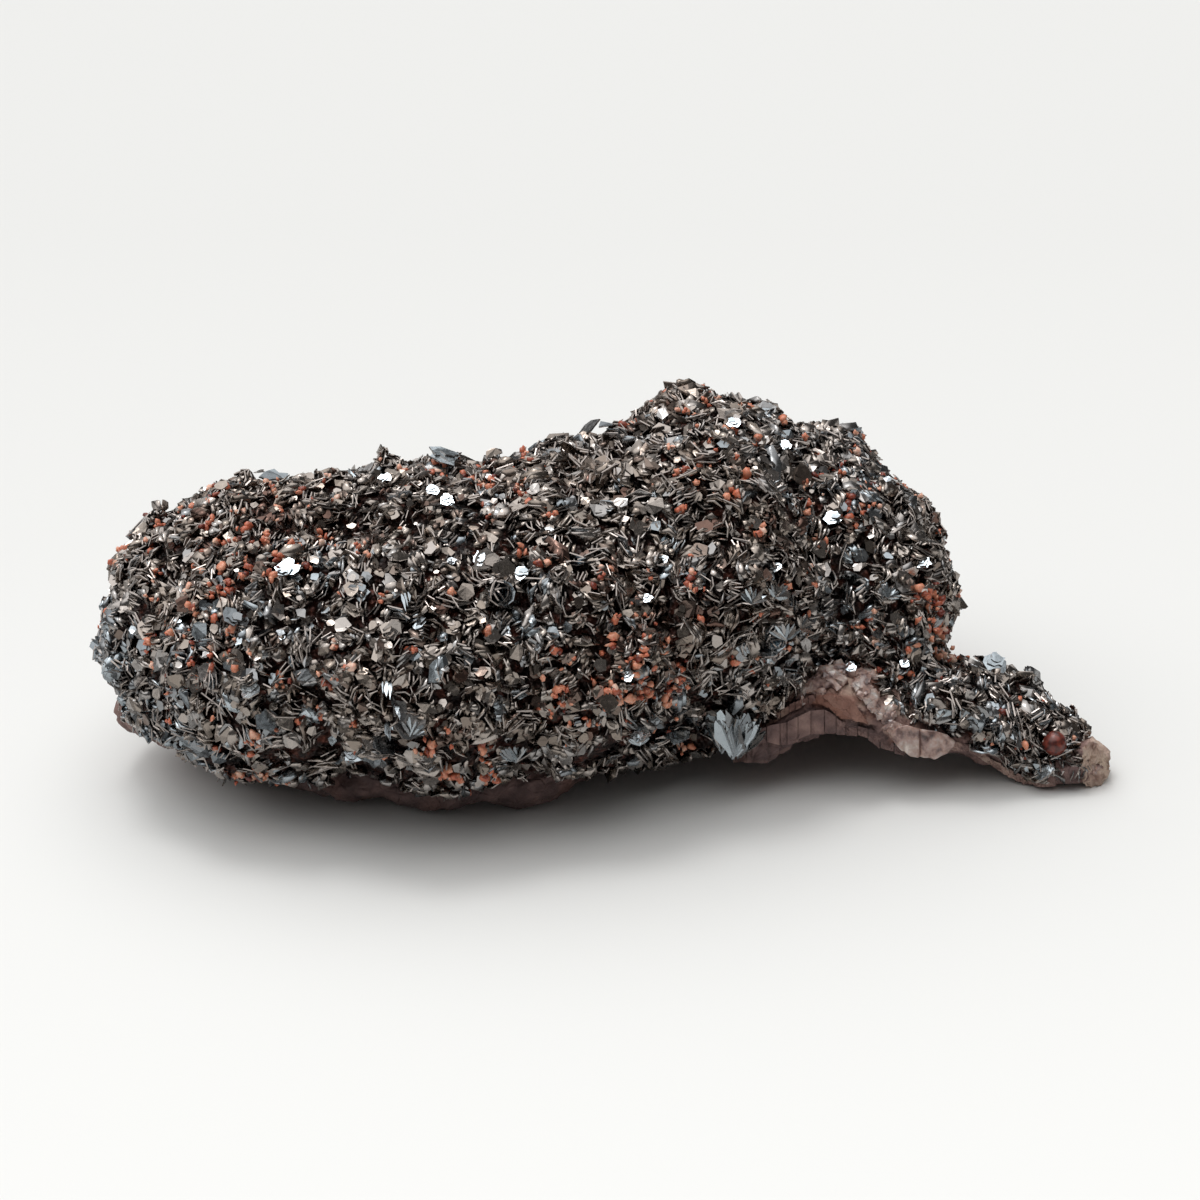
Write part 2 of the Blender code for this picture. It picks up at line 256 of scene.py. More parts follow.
# Mesh piece from points in mm and faces given as arrays of triangles and of quads. Each of the numbers
# has one value for each point or for each face, and flat marks faces with their own edge.
def makePiece(name, points, faces, material, slot, flat=None, uv=None, **numbers):
    mesh = bpy.data.meshes.new(name)
    sizes = np.concatenate([np.full(len(f), f.shape[1]) for f in faces])
    corners = np.concatenate([f.ravel() for f in faces])
    mesh.vertices.add(len(points))
    mesh.vertices.foreach_set("co", (points * mm).astype(np.float32).ravel())
    mesh.loops.add(len(corners))
    mesh.loops.foreach_set("vertex_index", corners.astype(np.int32))
    mesh.polygons.add(len(sizes))
    mesh.polygons.foreach_set("loop_start", np.concatenate([[0], np.cumsum(sizes)[:-1]]).astype(np.int32))
    if uv is not None:
        layer = mesh.uv_layers.new(name="OFBake", do_init=False)
        layer.uv.foreach_set("vector", uv.astype(np.float32).ravel())
    mesh.update(calc_edges=True)
    mesh.polygons.foreach_set("use_smooth", np.ones(len(sizes), bool) if flat is None else ~flat)
    for key, values in numbers.items():
        attribute = mesh.attributes.new(key, "FLOAT", "POINT" if len(values) == len(points) else "FACE")
        attribute.data.foreach_set("value", values.astype(np.float32))
    mesh.validate()
    mesh.materials.append(material)
    piece = addObject(name, mesh)
    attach(piece, "root")
    print(name, int((sizes - 2).sum()), "triangles")
    return piece


# Values that Blender keeps for a row of things, as a row of numbers for each
def valuesOf(things, name, kind, width):
    values = np.empty(len(things) * width, kind)
    things.foreach_get(name, values)
    return values.reshape(-1, width)


# Skin of a CAD node in mm: a merged copy, filled again with even quads and smoothed, so that
# single blades of the solid sink in and its lumps stay
def skinOf(node, voxel, smoothing):
    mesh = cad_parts[node].data.copy()
    merged = bmesh.new()
    merged.from_mesh(mesh)
    bmesh.ops.remove_doubles(merged, verts=merged.verts, dist=1e-6)
    merged.to_mesh(mesh)
    merged.free()
    copy = addObject("skin", mesh)
    remesh = copy.modifiers.new("remesh", "REMESH")
    remesh.mode = "VOXEL"
    remesh.voxel_size = voxel * mm
    smooth = copy.modifiers.new("smooth", "SMOOTH")
    smooth.factor = 0.5
    smooth.iterations = smoothing
    found = bpy.data.meshes.new_from_object(copy.evaluated_get(bpy.context.evaluated_depsgraph_get()))
    points = valuesOf(found.vertices, "co", np.float32, 3).astype(float) / mm
    normals = valuesOf(found.vertex_normals, "vector", np.float32, 3).astype(float)
    quads = valuesOf(found.polygons, "vertices", np.int32, 4)
    bpy.data.objects.remove(copy)
    bpy.data.meshes.remove(found)
    bpy.data.meshes.remove(mesh)
    return points, normals, quads


# Pixels of the photograph that points fall on: its middle + focal length * offset / depth
def toPixels(points):
    offset = points - cameraPlace
    depth = offset @ forward
    return middle + focal * (offset @ viewRight) / depth, middle - focal * (offset @ viewUp) / depth


# Points under pixels at given depths along the view: the same the other way round
def fromPixels(across, down, depth):
    offset = (across - middle)[..., None] * viewRight - (down - middle)[..., None] * viewUp
    return cameraPlace + depth[..., None] * forward + offset * (depth / focal)[..., None]


# Height of a line of pixels at places across
def alongLine(line, across):
    return np.interp(across, *np.array(line).T)


# Lets single high blades sink into a skin: in zones of (pixel across, pixel down, radius in pixels),
# each point moves to the mean of its neighbours, over and over
evening = dict(zones=[(609, 428, 17), (1019, 664, 13), (872, 433, 16), (661, 402, 12)], rounds=90)


def evened(skin):
    points, normals, quads = skin
    across, down = toPixels(points)
    inside = np.zeros(len(points), bool)
    for x, y, radius in evening["zones"]:
        inside |= np.hypot(across - x, down - y) < radius
    quads = quads.astype(int)
    links = np.concatenate([quads[:, [k, (k + 1) % 4]] for k in range(4)])
    links = links[inside[links[:, 0]]]
    number = np.bincount(links[:, 0], minlength=len(points))[:, None]
    for _ in range(evening["rounds"]):
        total = [np.bincount(links[:, 0], points[links[:, 1], k], len(points)) for k in range(3)]
        points = np.where(inside[:, None] & (number > 0), np.stack(total, 1) / np.maximum(number, 1), points)
    return points, normals, quads


# Brings the outline nearer to the photograph's: (pixel across, pixel down, radius, right, up), all in
# pixels. A point at a distance d within the radius r moves by (1 - d2 / r2)2 of the step.
nudges = [
    (135, 530, 55, -8, 8), (285, 480, 50, 0, -8), (330, 475, 45, 0, -7), (690, 390, 60, 0, 8),
    (605, 432, 22, 0, -7), (818, 420, 30, 0, 9), (895, 480, 50, -8, -7), (954, 568, 45, 9, 0),
    (965, 642, 46, -22, -13), (1046, 684, 26, 5, 15), (160, 758, 36, 18, -4), (1080, 730, 24, -3, -6),
]


def nudged(skin):
    points, normals, quads = skin
    across, down = toPixels(points)
    pixel = ((points - cameraPlace) @ forward / focal)[:, None]
    move = np.zeros(points.shape)
    for x, y, radius, right, up in nudges:
        near = np.hypot(across - x, down - y) / radius
        weight = np.where(near < 1, (1 - near ** 2) ** 2, 0)
        move += weight[:, None] * (viewRight * right + viewUp * up) * pixel
    return points + move, normals, quads


# Tree of a skin's triangles, for rays and nearest points
def treeOf(points, quads):
    return BVHTree.FromPolygons(points.tolist(), quads.tolist())


# Random places on a skin, even by area, thinned to about one for each cube of the spacing
def scatter(skin, spacing, crowding):
    points, normals, quads = skin
    corners = np.concatenate([quads[:, [0, 1, 2]], quads[:, [0, 2, 3]]])
    a, b, c = (points[corners[:, k]] for k in range(3))
    area = np.linalg.norm(np.cross(b - a, c - a), axis=1) / 2
    total = np.cumsum(area)
    count = int(crowding * total[-1] / spacing**2)
    chosen = np.searchsorted(total, rng.random(count) * total[-1])
    u, v = rng.random((2, count, 1))
    u, v = np.where(u + v > 1, 1 - u, u), np.where(u + v > 1, 1 - v, v)
    places = a[chosen] + u * (b - a)[chosen] + v * (c - a)[chosen]
    facing = sum(normals[corners[chosen, k]] * w for k, w in enumerate((1 - u - v, u, v)))
    for shift in (0.0, 0.5):
        cube = np.floor(places / spacing + shift).astype(np.int64)
        key = (cube[:, 0] * 4096 + cube[:, 1]) * 4096 + cube[:, 2]
        keep = np.unique(key, return_index=True)[1]
        places, facing = places[keep], facing[keep]
    order = rng.permutation(len(places))
    return places[order], unit(facing)[order]


# Points on a skin under pixels of the photograph, found along the camera's rays, and normals there
def underPixels(tree, pixels):
    pixels = np.array(pixels, float)
    rays = forward * focal + np.outer(pixels[:, 0] - middle, viewRight)
    rays = unit(rays - np.outer(pixels[:, 1] - middle, viewUp))
    hits = [tree.ray_cast(Vector(cameraPlace), Vector(ray)) for ray in rays]
    good = np.array([hit[0] is not None for hit in hits])
    places = np.array([hit[0] for hit in hits if hit[0] is not None], float)
    facing = np.array([hit[1] for hit in hits if hit[0] is not None], float)
    return places, facing, good


# Faces of one shape repeated for many shapes of as many points each
def repeated(faces, count, points):
    start = (np.arange(count) * points)[:, None, None]
    return (faces[None] + start).reshape(-1, faces.shape[-1])


# Thin plates, all at once. A plate is a closed surface of two parameters: the angle round its
# outline, and the way from the middle of its front over the rim to its back.
# It bends as depth = bend * across^2 + twist * across * up, and its front rises to an off-centre point.
plateLimits = dict(deepest=0.34, peakShift=0.4, peak=(0.9, 1.1))


def plateMesh(plates, sides, topHeavy):
    count = len(plates["centre"])
    most = plateLimits["deepest"] / (plates["radius"] * plates["stretch"])
    bend, twist, half, radius, stretch = (
        values[:, None] for values in (
            np.clip(plates["bend"], -most, most), plates["twist"], plates["thickness"] / 2, plates["radius"],
            plates["stretch"],
        )
    )
    angle = (np.arange(sides) + 0.5) / sides * 2 * math.pi - math.pi / 2
    angle = angle - topHeavy * np.sin(angle + math.pi / 2)
    angle = angle + rng.uniform(-1, 1, (count, sides)) * plates["jitter"][:, None] * math.pi / sides
    reach = (1 + rng.uniform(-1, 1, (count, sides)) * plates["ragged"][:, None]) * radius
    across = np.cos(angle) * reach * stretch
    upward = np.sin(angle) * reach
    depth = bend * across**2 + twist * across * upward
    face, side = plates["face"], plates["side"]
    up = np.cross(face, side)
    rim = plates["centre"][:, None] + across[..., None] * side[:, None] + upward[..., None] * up[:, None]
    front = rim + (depth + half)[..., None] * face[:, None]
    back = rim + (depth - half)[..., None] * face[:, None]
    shift = rng.uniform(-plateLimits["peakShift"], plateLimits["peakShift"], (2, count, 1)) * radius
    peak = plates["centre"] + shift[0] * side + shift[1] * up
    peak = peak + half * rng.uniform(*plateLimits["peak"], (count, 1)) * face
    points = np.concatenate([peak[:, None], front, back], 1)
    here = np.arange(sides)
    after = (here + 1) % sides
    fan = np.stack([np.zeros(sides, int), 1 + here, 1 + after], 1)
    inner = np.arange(1, sides - 1)
    rear = np.stack([np.zeros(sides - 2, int), inner + 1, inner], 1) + 1 + sides
    belt = np.stack([1 + here, 1 + sides + here, 1 + sides + after, 1 + after], 1)
    triangles = repeated(np.concatenate([fan, rear]), count, 2 * sides + 1)
    return points.reshape(-1, 3), triangles, repeated(belt, count, 2 * sides + 1)


# Map for the plates: each has a cell of its own, with its front, its back and its rim side by side
def plateMap(count, sides):
    columns = math.ceil(math.sqrt(count))
    cell = np.stack([np.arange(count) % columns, np.arange(count) // columns], 1)
    turn = 2 * math.pi * np.arange(sides + 1) / sides
    ring = np.stack([np.cos(turn), np.sin(turn)], 1)
    fronts = 0.25 + 0.2 * np.stack([ring[:-1] * 0, ring[:-1], ring[1:]], 1)
    mirrored = ring * (-1, 1)
    rears = np.stack([np.broadcast_to(mirrored[0], (sides - 2, 2)), mirrored[2:-1], mirrored[1:-2]], 1)
    rears = np.array((0.75, 0.25)) + 0.2 * rears
    along = 0.05 + 0.9 * np.arange(sides + 1) / sides
    low, high = np.full(sides, 0.6), np.full(sides, 0.9)
    belts = np.stack([
        np.stack([along[:-1], low], 1),
        np.stack([along[:-1], high], 1),
        np.stack([along[1:], high], 1),
        np.stack([along[1:], low], 1),
    ], 1)
    discs = np.concatenate([fronts, rears]).reshape(1, -1, 2) + cell[:, None]
    strips = belts.reshape(1, -1, 2) + cell[:, None]
    return np.concatenate([discs.reshape(-1, 2), strips.reshape(-1, 2)]) / columns


# Joins dictionaries of plates
def joined(*groups):
    return {key: np.concatenate([g[key] for g in groups]) for key in groups[0]}


# The plates of a dictionary that a mask keeps
def kept(plates, mask):
    return {key: values[mask] for key, values in plates.items()}


# Dictionary of plates, from arrays with a row for each plate and numbers that are the same for all
def plateSet(centre, face, side, radius, **rest):
    rest = {key: np.broadcast_to(value, len(radius)) for key, value in rest.items()}
    return dict(centre=centre, face=face, side=side, radius=radius, **rest)


# One piece from plates, with its tone and rim numbers
def platePiece(name, plates, sides=7, topHeavy=0.35):
    points, triangles, quads = plateMesh(plates, sides, topHeavy)
    rim = np.concatenate([np.zeros(len(triangles)), np.ones(len(quads))])
    faceted = np.concatenate([np.repeat(plates["faceted"], 2 * sides - 2), np.ones(len(quads), bool)])
    tone = np.repeat(plates["tone"], 2 * sides + 1)
    uv = plateMap(len(plates["centre"]), sides)
    makePiece(name, points, [triangles, quads], bladeMetal, "hematite", faceted, uv, tone=tone, rim=rim)


# Specular hematite: thin tabular crystals with a metallic lustre. Its reflectance of about a quarter
# gives dark grey faces that flash white in the light, and the tone goes from brown to blue-grey.
hematiteLook = dict(
    stops=[
        (0.0, "#654a41"), (0.12, "#63544d"), (0.3, "#887e75"), (0.48, "#a49c96"), (0.66, "#7d8286"),
        (0.82, "#a4acb1"), (1.0, "#c8d2d8"),
    ],
    rim="#938b86",
    grain=0.35,
    grainRange=(0.3, 0.7),
    roughness=(0.14, 0.34),
    bump=(0.4, 0.03),
)


def specularHematite():
    material = startMaterial("specularHematite")
    colour = addRamp(material, hematiteLook["stops"], addNumber(material, "tone"))
    colour = addMix(material, addNumber(material, "rim"), colour, hematiteLook["rim"])
    grain = addNoise(material, hematiteLook["grain"], 3.0)
    rough = addRange(material, grain, *hematiteLook["grainRange"], *hematiteLook["roughness"])
    bump = addBump(material, *hematiteLook["bump"], grain)
    links = {"Base Color": colour, "Roughness": rough, "Normal": bump}
    return endMaterial(material, {"Metallic": 1.0}, links)


# Massive hematite under the blades: the same mineral, fine-grained and rusty, with flakes of half a
# millimetre that glint dully. It is nearly black, partly its own dark colour and partly painted shade for the
# deep gaps between the blades
groundLook = dict(
    stops=[(0.35, "#0c0706"), (0.52, "#2a1813"), (0.72, "#5c3024")],
    patch=1.0,
    flake=0.5,
    bump=(1.0, 0.4),
    metallic=0.6,
    roughness=0.38,
)


def massiveHematite():
    material = startMaterial("massiveHematite")
    colour = addRamp(material, groundLook["stops"], addNoise(material, groundLook["patch"], 4.0))
    flakes = addTexture(material, "Voronoi", groundLook["flake"]).outputs["Distance"]
    bump = addBump(material, *groundLook["bump"], flakes)
    values = {"Metallic": groundLook["metallic"], "Roughness": groundLook["roughness"]}
    return endMaterial(material, values, {"Base Color": colour, "Normal": bump})


# Quartz: its index of refraction is 1.54, and light goes a little way in
def quartzValues(look):
    share, colour, depth = look["inside"]
    values = {"Roughness": look["roughness"], "IOR": 1.54, "Subsurface Weight": share}
    return {**values, "Subsurface Radius": colour, "Subsurface Scale": depth * mm}


# Ferruginous quartz: small rounded grains coloured orange-red by iron, waxy and slightly see-through
grainLook = dict(
    stops=[(0.0, "#2c0d0c"), (0.2, "#7d3526"), (0.45, "#c46c4f"), (0.75, "#dc987a"), (1.0, "#e8c2ae")],
    speckle=0.5,
    mottle=0.5,
    roughness=0.32,
    inside=(0.15, (1.0, 0.4, 0.25), 0.3),
)


def ironQuartz():
    material = startMaterial("ironQuartz")
    speckle = addNoise(material, grainLook["speckle"], 2.0)
    tone = addMottle(material, addNumber(material, "tone"), speckle, grainLook["mottle"])
    colour = addRamp(material, grainLook["stops"], tone)
    return endMaterial(material, quartzValues(grainLook), {"Base Color": colour})


# Host rock: fine-grained siliceous rock stained by iron, dull, purple-brown on the broken edge and
# tan where it is weathered
rockLook = dict(
    stops=[(0.0, "#3b2b2a"), (0.3, "#5e4845"), (0.5, "#7f645e"), (0.7, "#a3877c"), (1.0, "#cdb8a6")],
    rust="#8a5b48",
    patch=1.6,
    mottle=0.8,
    fine=0.35,
    fineShare=0.5,
    cell=1.3,
    joint=0.12,
    bump=(0.8, 0.22),
    roughness=0.72,
)


def hostRock():
    material = startMaterial("hostRock")
    mottle = addNoise(material, rockLook["patch"], 5.0)
    pale = addMottle(material, addNumber(material, "pale"), mottle, rockLook["mottle"])
    colour = addRamp(material, rockLook["stops"], pale)
    colour = addMix(material, addNumber(material, "rust"), colour, rockLook["rust"])
    fine = addNoise(material, rockLook["fine"], 4.0)
    cells = addTexture(material, "Voronoi", rockLook["cell"], {"feature": "DISTANCE_TO_EDGE"})
    joints = addRange(material, cells.outputs["Distance"], 0.0, rockLook["joint"])
    height = addMath(material, "MULTIPLY_ADD", {1: rockLook["fineShare"]}, {0: joints, 2: fine})
    bump = addBump(material, *rockLook["bump"], height)
    values = {"Roughness": rockLook["roughness"], "IOR": 1.54}
    return endMaterial(material, values, {"Base Color": colour, "Normal": bump})


# Milky quartz: pale, translucent and wet-looking where it lies bare by the arch and at the tip
quartzLook = dict(
    stops=[(0.32, "#4b3836"), (0.42, "#836a64"), (0.52, "#ab8f85"), (0.62, "#bcaaa2"), (0.72, "#ddd2c9")],
    mottle=1.1,
    roughness=0.17,
    inside=(0.3, (1.0, 0.7, 0.5), 0.5),
)


def milkyQuartz():
    material = startMaterial("milkyQuartz")
    colour = addRamp(material, quartzLook["stops"], addNoise(material, quartzLook["mottle"], 3.0))
    return endMaterial(material, quartzValues(quartzLook), {"Base Color": colour})


bladeMetal = specularHematite()
rockFinish = hostRock()
grainFinish = ironQuartz()
quartzFinish = milkyQuartz()
print("materials made")

# Skins: the crust is filled with quads of 0.55 mm and smoothed well, the rock with finer ones, less
crustSkin = nudged(evened(skinOf("hematite_crust", 0.55, 14)))
rockSkin = skinOf("matrix", 0.35, 2)
crustTree = treeOf(crustSkin[0], crustSkin[2])
rockTree = treeOf(rockSkin[0], rockSkin[2])
wholeTree = treeOf(
    np.concatenate([crustSkin[0], rockSkin[0]]),
    np.concatenate([crustSkin[2], rockSkin[2] + len(crustSkin[0])]),
)
print("skins read:", len(crustSkin[2]), len(rockSkin[2]), "quads")


# Distance in mm from places to the host rock, up to about 3 mm: in a lattice each corner takes the
# least of its neighbours' distances plus the step to them, over and over from the rock outwards
lattice = dict(step=0.5, rounds=6, margin=4.0)


def gapLattice(points):
    low = np.minimum(points.min(0) - lattice["margin"], crustSkin[0].min(0) - 1)
    high = np.maximum(points.max(0), crustSkin[0].max(0)) + lattice["margin"]
    gap = np.full(tuple(np.ceil((high - low) / lattice["step"]).astype(int)), 9.0)
    cell = np.round((points - low) / lattice["step"]).astype(int)
    gap[cell[:, 0], cell[:, 1], cell[:, 2]] = 0.0
    for _ in range(lattice["rounds"]):
        before = gap.copy()
        for way in np.ndindex(3, 3, 3):
            way = np.array(way) - 1
            step = lattice["step"] * np.linalg.norm(way)
            gap = np.minimum(gap, np.roll(before, tuple(way), (0, 1, 2)) + step)
    return low, gap


latticeLow, latticeGap = gapLattice(rockSkin[0])


# Distance at places between the lattice's corners, blended from the eight around each
def gapToRock(places):
    at = (places - latticeLow) / lattice["step"]
    base = np.floor(at).astype(int)
    return blended(base, at - base, lambda corner: latticeGap[tuple(corner.T)])


# Ground of the crust: its skin moved in by a depth with cell-like bumps, so that it lies in shade between the
# blades, and its near-black colour adds painted shade there. Beside the host rock it moves out instead and
# closes the seam.
ground = dict(depth=0.7, bump=0.7, bumpSize=1.1, dent=3, seam=1.2, seamOut=0.22)


def makeGround():
    points, normals, quads = crustSkin
    nearest, second, own = cellNoise(points, ground["bumpSize"], 3)
    edge = np.minimum(1, ground["dent"] * (second - nearest))
    inward = -ground["depth"] + ground["bump"] * (own - 0.5) * edge
    closeness = np.clip(1 - gapToRock(points) / ground["seam"], 0, 1) ** 0.5
    move = inward * (1 - closeness) + ground["seamOut"] * closeness
    moved = points + normals * move[:, None]
    piece = makePiece("hematite_ground", moved, [quads], massiveHematite(), "hematite")
    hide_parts("hematite_crust")


makeGround()

# Larger plates that show in the photograph: pixel across, pixel down, radius in mm, stretch, tone and
# what they mirror. The tone is partly the plates' own tint and partly painted light: plates that mirror the
# lamp, the soft box or the pale room mostly take the palest, most reflective tones, those that mirror the dim
# room darker ones
largePlates = [
    (410, 727, 1.2, 1.0, 0.6, "pale"), (675, 735, 1.0, 1.2, 0.85, "pale"),
    (640, 735, 0.9, 1.0, 1.0, "bright"), (252, 692, 1.2, 0.8, 0.95, "bright"),
    (265, 722, 1.0, 0.9, 0.85, "pale"), (385, 745, 1.2, 1.1, 0.7, "pale"),
    (355, 755, 0.9, 0.9, 0.8, "pale"), (231, 618, 0.9, 0.9, 0.7, "pale"), (443, 460, 1.3, 1.1, 1.0, "skim"),
    (272, 480, 1.1, 1.4, 0.8, "skim"), (801, 478, 1.0, 1.2, 0.25, "dim"), (485, 563, 0.9, 1.3, 0.5, "pale"),
    (503, 568, 0.8, 1.2, 0.4, "dim"), (1046, 774, 0.9, 1.0, 0.95, "bright"),
    (995, 665, 0.9, 1.2, 0.95, "pale"), (767, 651, 1.1, 1.5, 0.95, "glint"),
    (288, 571, 0.9, 1.0, 1.0, "glint"), (479, 562, 0.75, 0.8, 1.0, "glint"),
    (522, 577, 0.65, 1.0, 0.9, "glint"), (448, 503, 0.6, 1.0, 1.0, "glint"),
    (385, 481, 0.5, 1.0, 1.0, "glint"), (433, 493, 0.45, 1.3, 1.0, "glint"),
    (629, 679, 0.7, 0.6, 1.0, "glint"), (648, 602, 0.4, 1.0, 1.0, "glint"),
    (734, 426, 0.5, 1.2, 1.0, "glint"), (786, 448, 0.5, 1.0, 1.0, "glint"),
    (832, 520, 0.7, 1.0, 0.9, "glint"), (925, 566, 0.6, 1.0, 0.9, "glint"),
    (850, 670, 0.5, 1.1, 1.0, "glint"), (904, 666, 0.45, 1.1, 1.0, "glint"),
    (791, 665, 0.5, 0.6, 1.0, "glint"), (956, 729, 0.4, 0.7, 1.0, "glint"),
    (666, 562, 0.35, 0.7, 1.0, "glint"), (776, 570, 0.4, 1.4, 1.0, "glint"),
    (835, 523, 0.4, 1.4, 1.0, "glint"), (453, 564, 0.35, 1.0, 0.7, "glint"),
    (392, 690, 1.2, 0.1, 0.8, "bright"), (398, 712, 1.3, 0.09, 0.75, "bright"),
    (388, 730, 1.0, 0.12, 0.8, "pale"), (405, 605, 1.1, 0.1, 0.75, "bright"),
]

# Rosettes are rings of petals about a point: pixel, radius in mm, tone. Fans are narrow blades from one
# root: pixel, angle in degrees counted from the right, length in mm, tone, and for the great fan its
# half spread in degrees and its number of blades.
rosettes = [(499, 593, 1.5, 0.7), (775, 640, 1.2, 0.85), (560, 575, 1.0, 0.4)]
fans = [
    (733, 757, 82, 4.4, 0.76, 32, 18), (722, 752, 96, 3.2, 0.68, 30, 11), (738, 757, 66, 4.0, 0.74, 26, 12),
    (752, 604, 80, 1.7, 0.66), (775, 598, 60, 1.5, 0.62), (516, 762, 100, 1.8, 0.7),
    (786, 640, 95, 2.0, 0.68), (800, 628, 40, 1.4, 0.6), (770, 655, 250, 0.9, 0.9),
    (410, 736, 70, 1.7, 0.75), (888, 598, 60, 1.3, 0.8), (640, 745, 95, 1.3, 0.8),
]

# Zones of the photograph that single blades keep out of, so that these show: pixel, radius in mm and the
# share of it that is kept clear. They count only in front, where y is less than 12 mm.
clearing = dict(plates=0.62, rosettes=0.8, fans=0.5, fanShift=(5, -14), pixelsPerMm=11, front=12)
clearZones = [(x, y, radius, clearing["plates"]) for x, y, radius, *_ in largePlates]
clearZones += [(x, y, radius, clearing["rosettes"]) for x, y, radius, *_ in rosettes]
fanAcross, fanDown = clearing["fanShift"]
clearZones += [(x + fanAcross, y + fanDown, length, clearing["fans"]) for x, y, _, length, *_ in fans]
clearZones += [(742, 726, 2.3, 0.9), (868, 429, 1.1, 1.0), (595, 425, 1.0, 1.0)]

# Stacks of blades on the crust. Tips and spacings are from measures of the photograph, 0.09 mm a pixel.
# A pair of numbers is a range, single ones named scatter or lean are the spread of a normal draw.
stacks = dict(
    # where: spacing, clear of the rock and within reach of it, and shares kept at the back, underneath
    # and in the dark lower left, given by x and z or by x alone; fewer chips there let more near-black ground
    # show, a painted shade
    spacing=1.12, crowding=9, clearOfRock=0.5, reach=99, back=0.75, backFrom=0.25, under=0.35, underFrom=-0.3,
    dark=(-24, 14, -37), shadedShare=1.0, lowest=0.12,
    # how a stack stands: blades in it, step from one to the next in mm, angles in radians, leans in degrees
    blades=(2, 2, 3, 3, 4, 5), pitch=(0.19, 0.36), fan=(0.0, 0.14), lean=33, tilt=0.12, yaw=0.2,
    flatShare=0.1, flatLean=(45, 80), flowSize=5.0, flowScatter=0.9, alongScatter=0.05, acrossScatter=0.2,
    # its blades: those that lean by more than lowFrom are smaller and often faceted
    radius=(0.42, 0.9), bladeSize=(0.7, 1.15), sizePatch=14.0, patchAmount=0.22, stretch=(1.0, 2.0),
    tip=(-0.3, 0.5), tipScatter=(-0.18, 0.18), thickness=(0.06, 0.13), bend=0.5, bendScatter=0.08, twist=0.15,
    lowFrom=0.75, lowSize=0.72, lowFaceted=0.5, jitter=0.7, ragged=0.2, faceted=0.0,
    glints=0.0, glintSize=0.7, glintScatter=0.05,
    toneScatter=0.13, bladeTone=0.07, toneRange=(0.06, 0.95),
)


# Plates of stacks at these places: a stack's blades follow each other along one direction on the skin,
# which flows from place to place, and fan about the direction across it, leaning from the normal.
# Glints face halfway between the camera and the lamp.
def stackPlates(places, normals, recipe):
    count = len(places)
    first, second = tangents(normals)
    flow = 2 * math.pi * smoothNoise(places, recipe["flowSize"], 71)
    along = turned(first, second, (flow + rng.normal(0, recipe["flowScatter"], count))[:, None])
    across = np.cross(normals, along)
    lean = np.radians(rng.normal(0, recipe["lean"], count))
    lying = rng.random(count) < recipe["flatShare"]
    steep = np.radians(rng.uniform(*recipe["flatLean"], count)) * rng.choice((-1, 1), count)
    lean = np.where(lying, steep, lean)
    blades = rng.choice(recipe["blades"], count)
    fan = rng.uniform(*recipe["fan"], count)
    pitch = rng.uniform(*recipe["pitch"], count)
    patch = 1 + recipe["patchAmount"] * smoothNoise(places, recipe["sizePatch"], 5)
    size = rng.uniform(*recipe["radius"], count) * patch
    tips = rng.uniform(*recipe["tip"], count)
    tones = toneAt(places) + rng.normal(0, recipe["toneScatter"], count)
    bend = rng.normal(0, recipe["bend"], count)
    stack = np.repeat(np.arange(count), blades)
    rank = np.arange(len(stack)) - np.repeat(np.cumsum(blades) - blades, blades)
    rank = rank - (blades[stack] - 1) / 2
    total = len(stack)
    angle = lean[stack] + rank * fan[stack] + rng.normal(0, recipe["tilt"], total)
    low = np.abs(angle) > recipe["lowFrom"]
    way = turned(along[stack], across[stack], rng.normal(0, recipe["yaw"], (total, 1)))
    up = turned(normals[stack], way, angle[:, None])
    face = turned(way, -normals[stack], angle[:, None])
    glint = rng.random(total) < recipe["glints"]
    glance = unit(unit(cameraPlace - places[stack]) + sunFrom)
    glance = glance + rng.normal(0, recipe["glintScatter"], (total, 3))
    face = unit(np.where(glint[:, None], glance, face))
    up = unit(np.where(glint[:, None], up - face * (up * face).sum(1, keepdims=True), up))
    radius = size[stack] * rng.uniform(*recipe["bladeSize"], total) * np.where(glint, recipe["glintSize"], 1)
    radius = radius * np.where(low & (recipe["faceted"] == 0), recipe["lowSize"], 1)
    tip = tips[stack] + rng.uniform(*recipe["tipScatter"], total)
    place = rank * pitch[stack] + rng.normal(0, recipe["alongScatter"], total)
    foot = places[stack] + along[stack] * place[:, None]
    foot = foot + across[stack] * rng.normal(0, recipe["acrossScatter"], (total, 1))
    return plateSet(
        foot + up * (tip - radius)[:, None], face, unit(np.cross(up, face)), radius,
        stretch=rng.uniform(*recipe["stretch"], total),
        thickness=rng.uniform(*recipe["thickness"], total),
        bend=bend[stack] + rng.normal(0, recipe["bendScatter"], total),
        twist=rng.normal(0, recipe["twist"], total),
        jitter=recipe["jitter"],
        ragged=recipe["ragged"],
        faceted=rng.random(total) < np.maximum(recipe["faceted"], recipe["lowFaceted"] * low),
        tone=np.clip(tones[stack] + rng.normal(0, recipe["bladeTone"], total), *recipe["toneRange"]),
    )


# Tone of the blades, 0 rusty, 0.3 brown, 1 pale blue-grey: brown above, rusty in a few patches. Low on the
# lobe and at its left end the tone goes to the ramp's darkest blue-grey, a painted shade, and right of the
# hump it rises a little, a painted light. The fields begin and end at these z or x in mm.
toneField = dict(
    base=0.4, patch=6.0, patchAmount=0.17,
    shadeBlue=0.24, lobeUnder=(15, 7), lobeLeft=(-10, -20), leftEnd=(-38, -42),
    humpLight=0.08, humpRight=(8, 16),
    rust=0.22, rustPatch=5.0, rustGain=3, rustFrom=1.1,
)


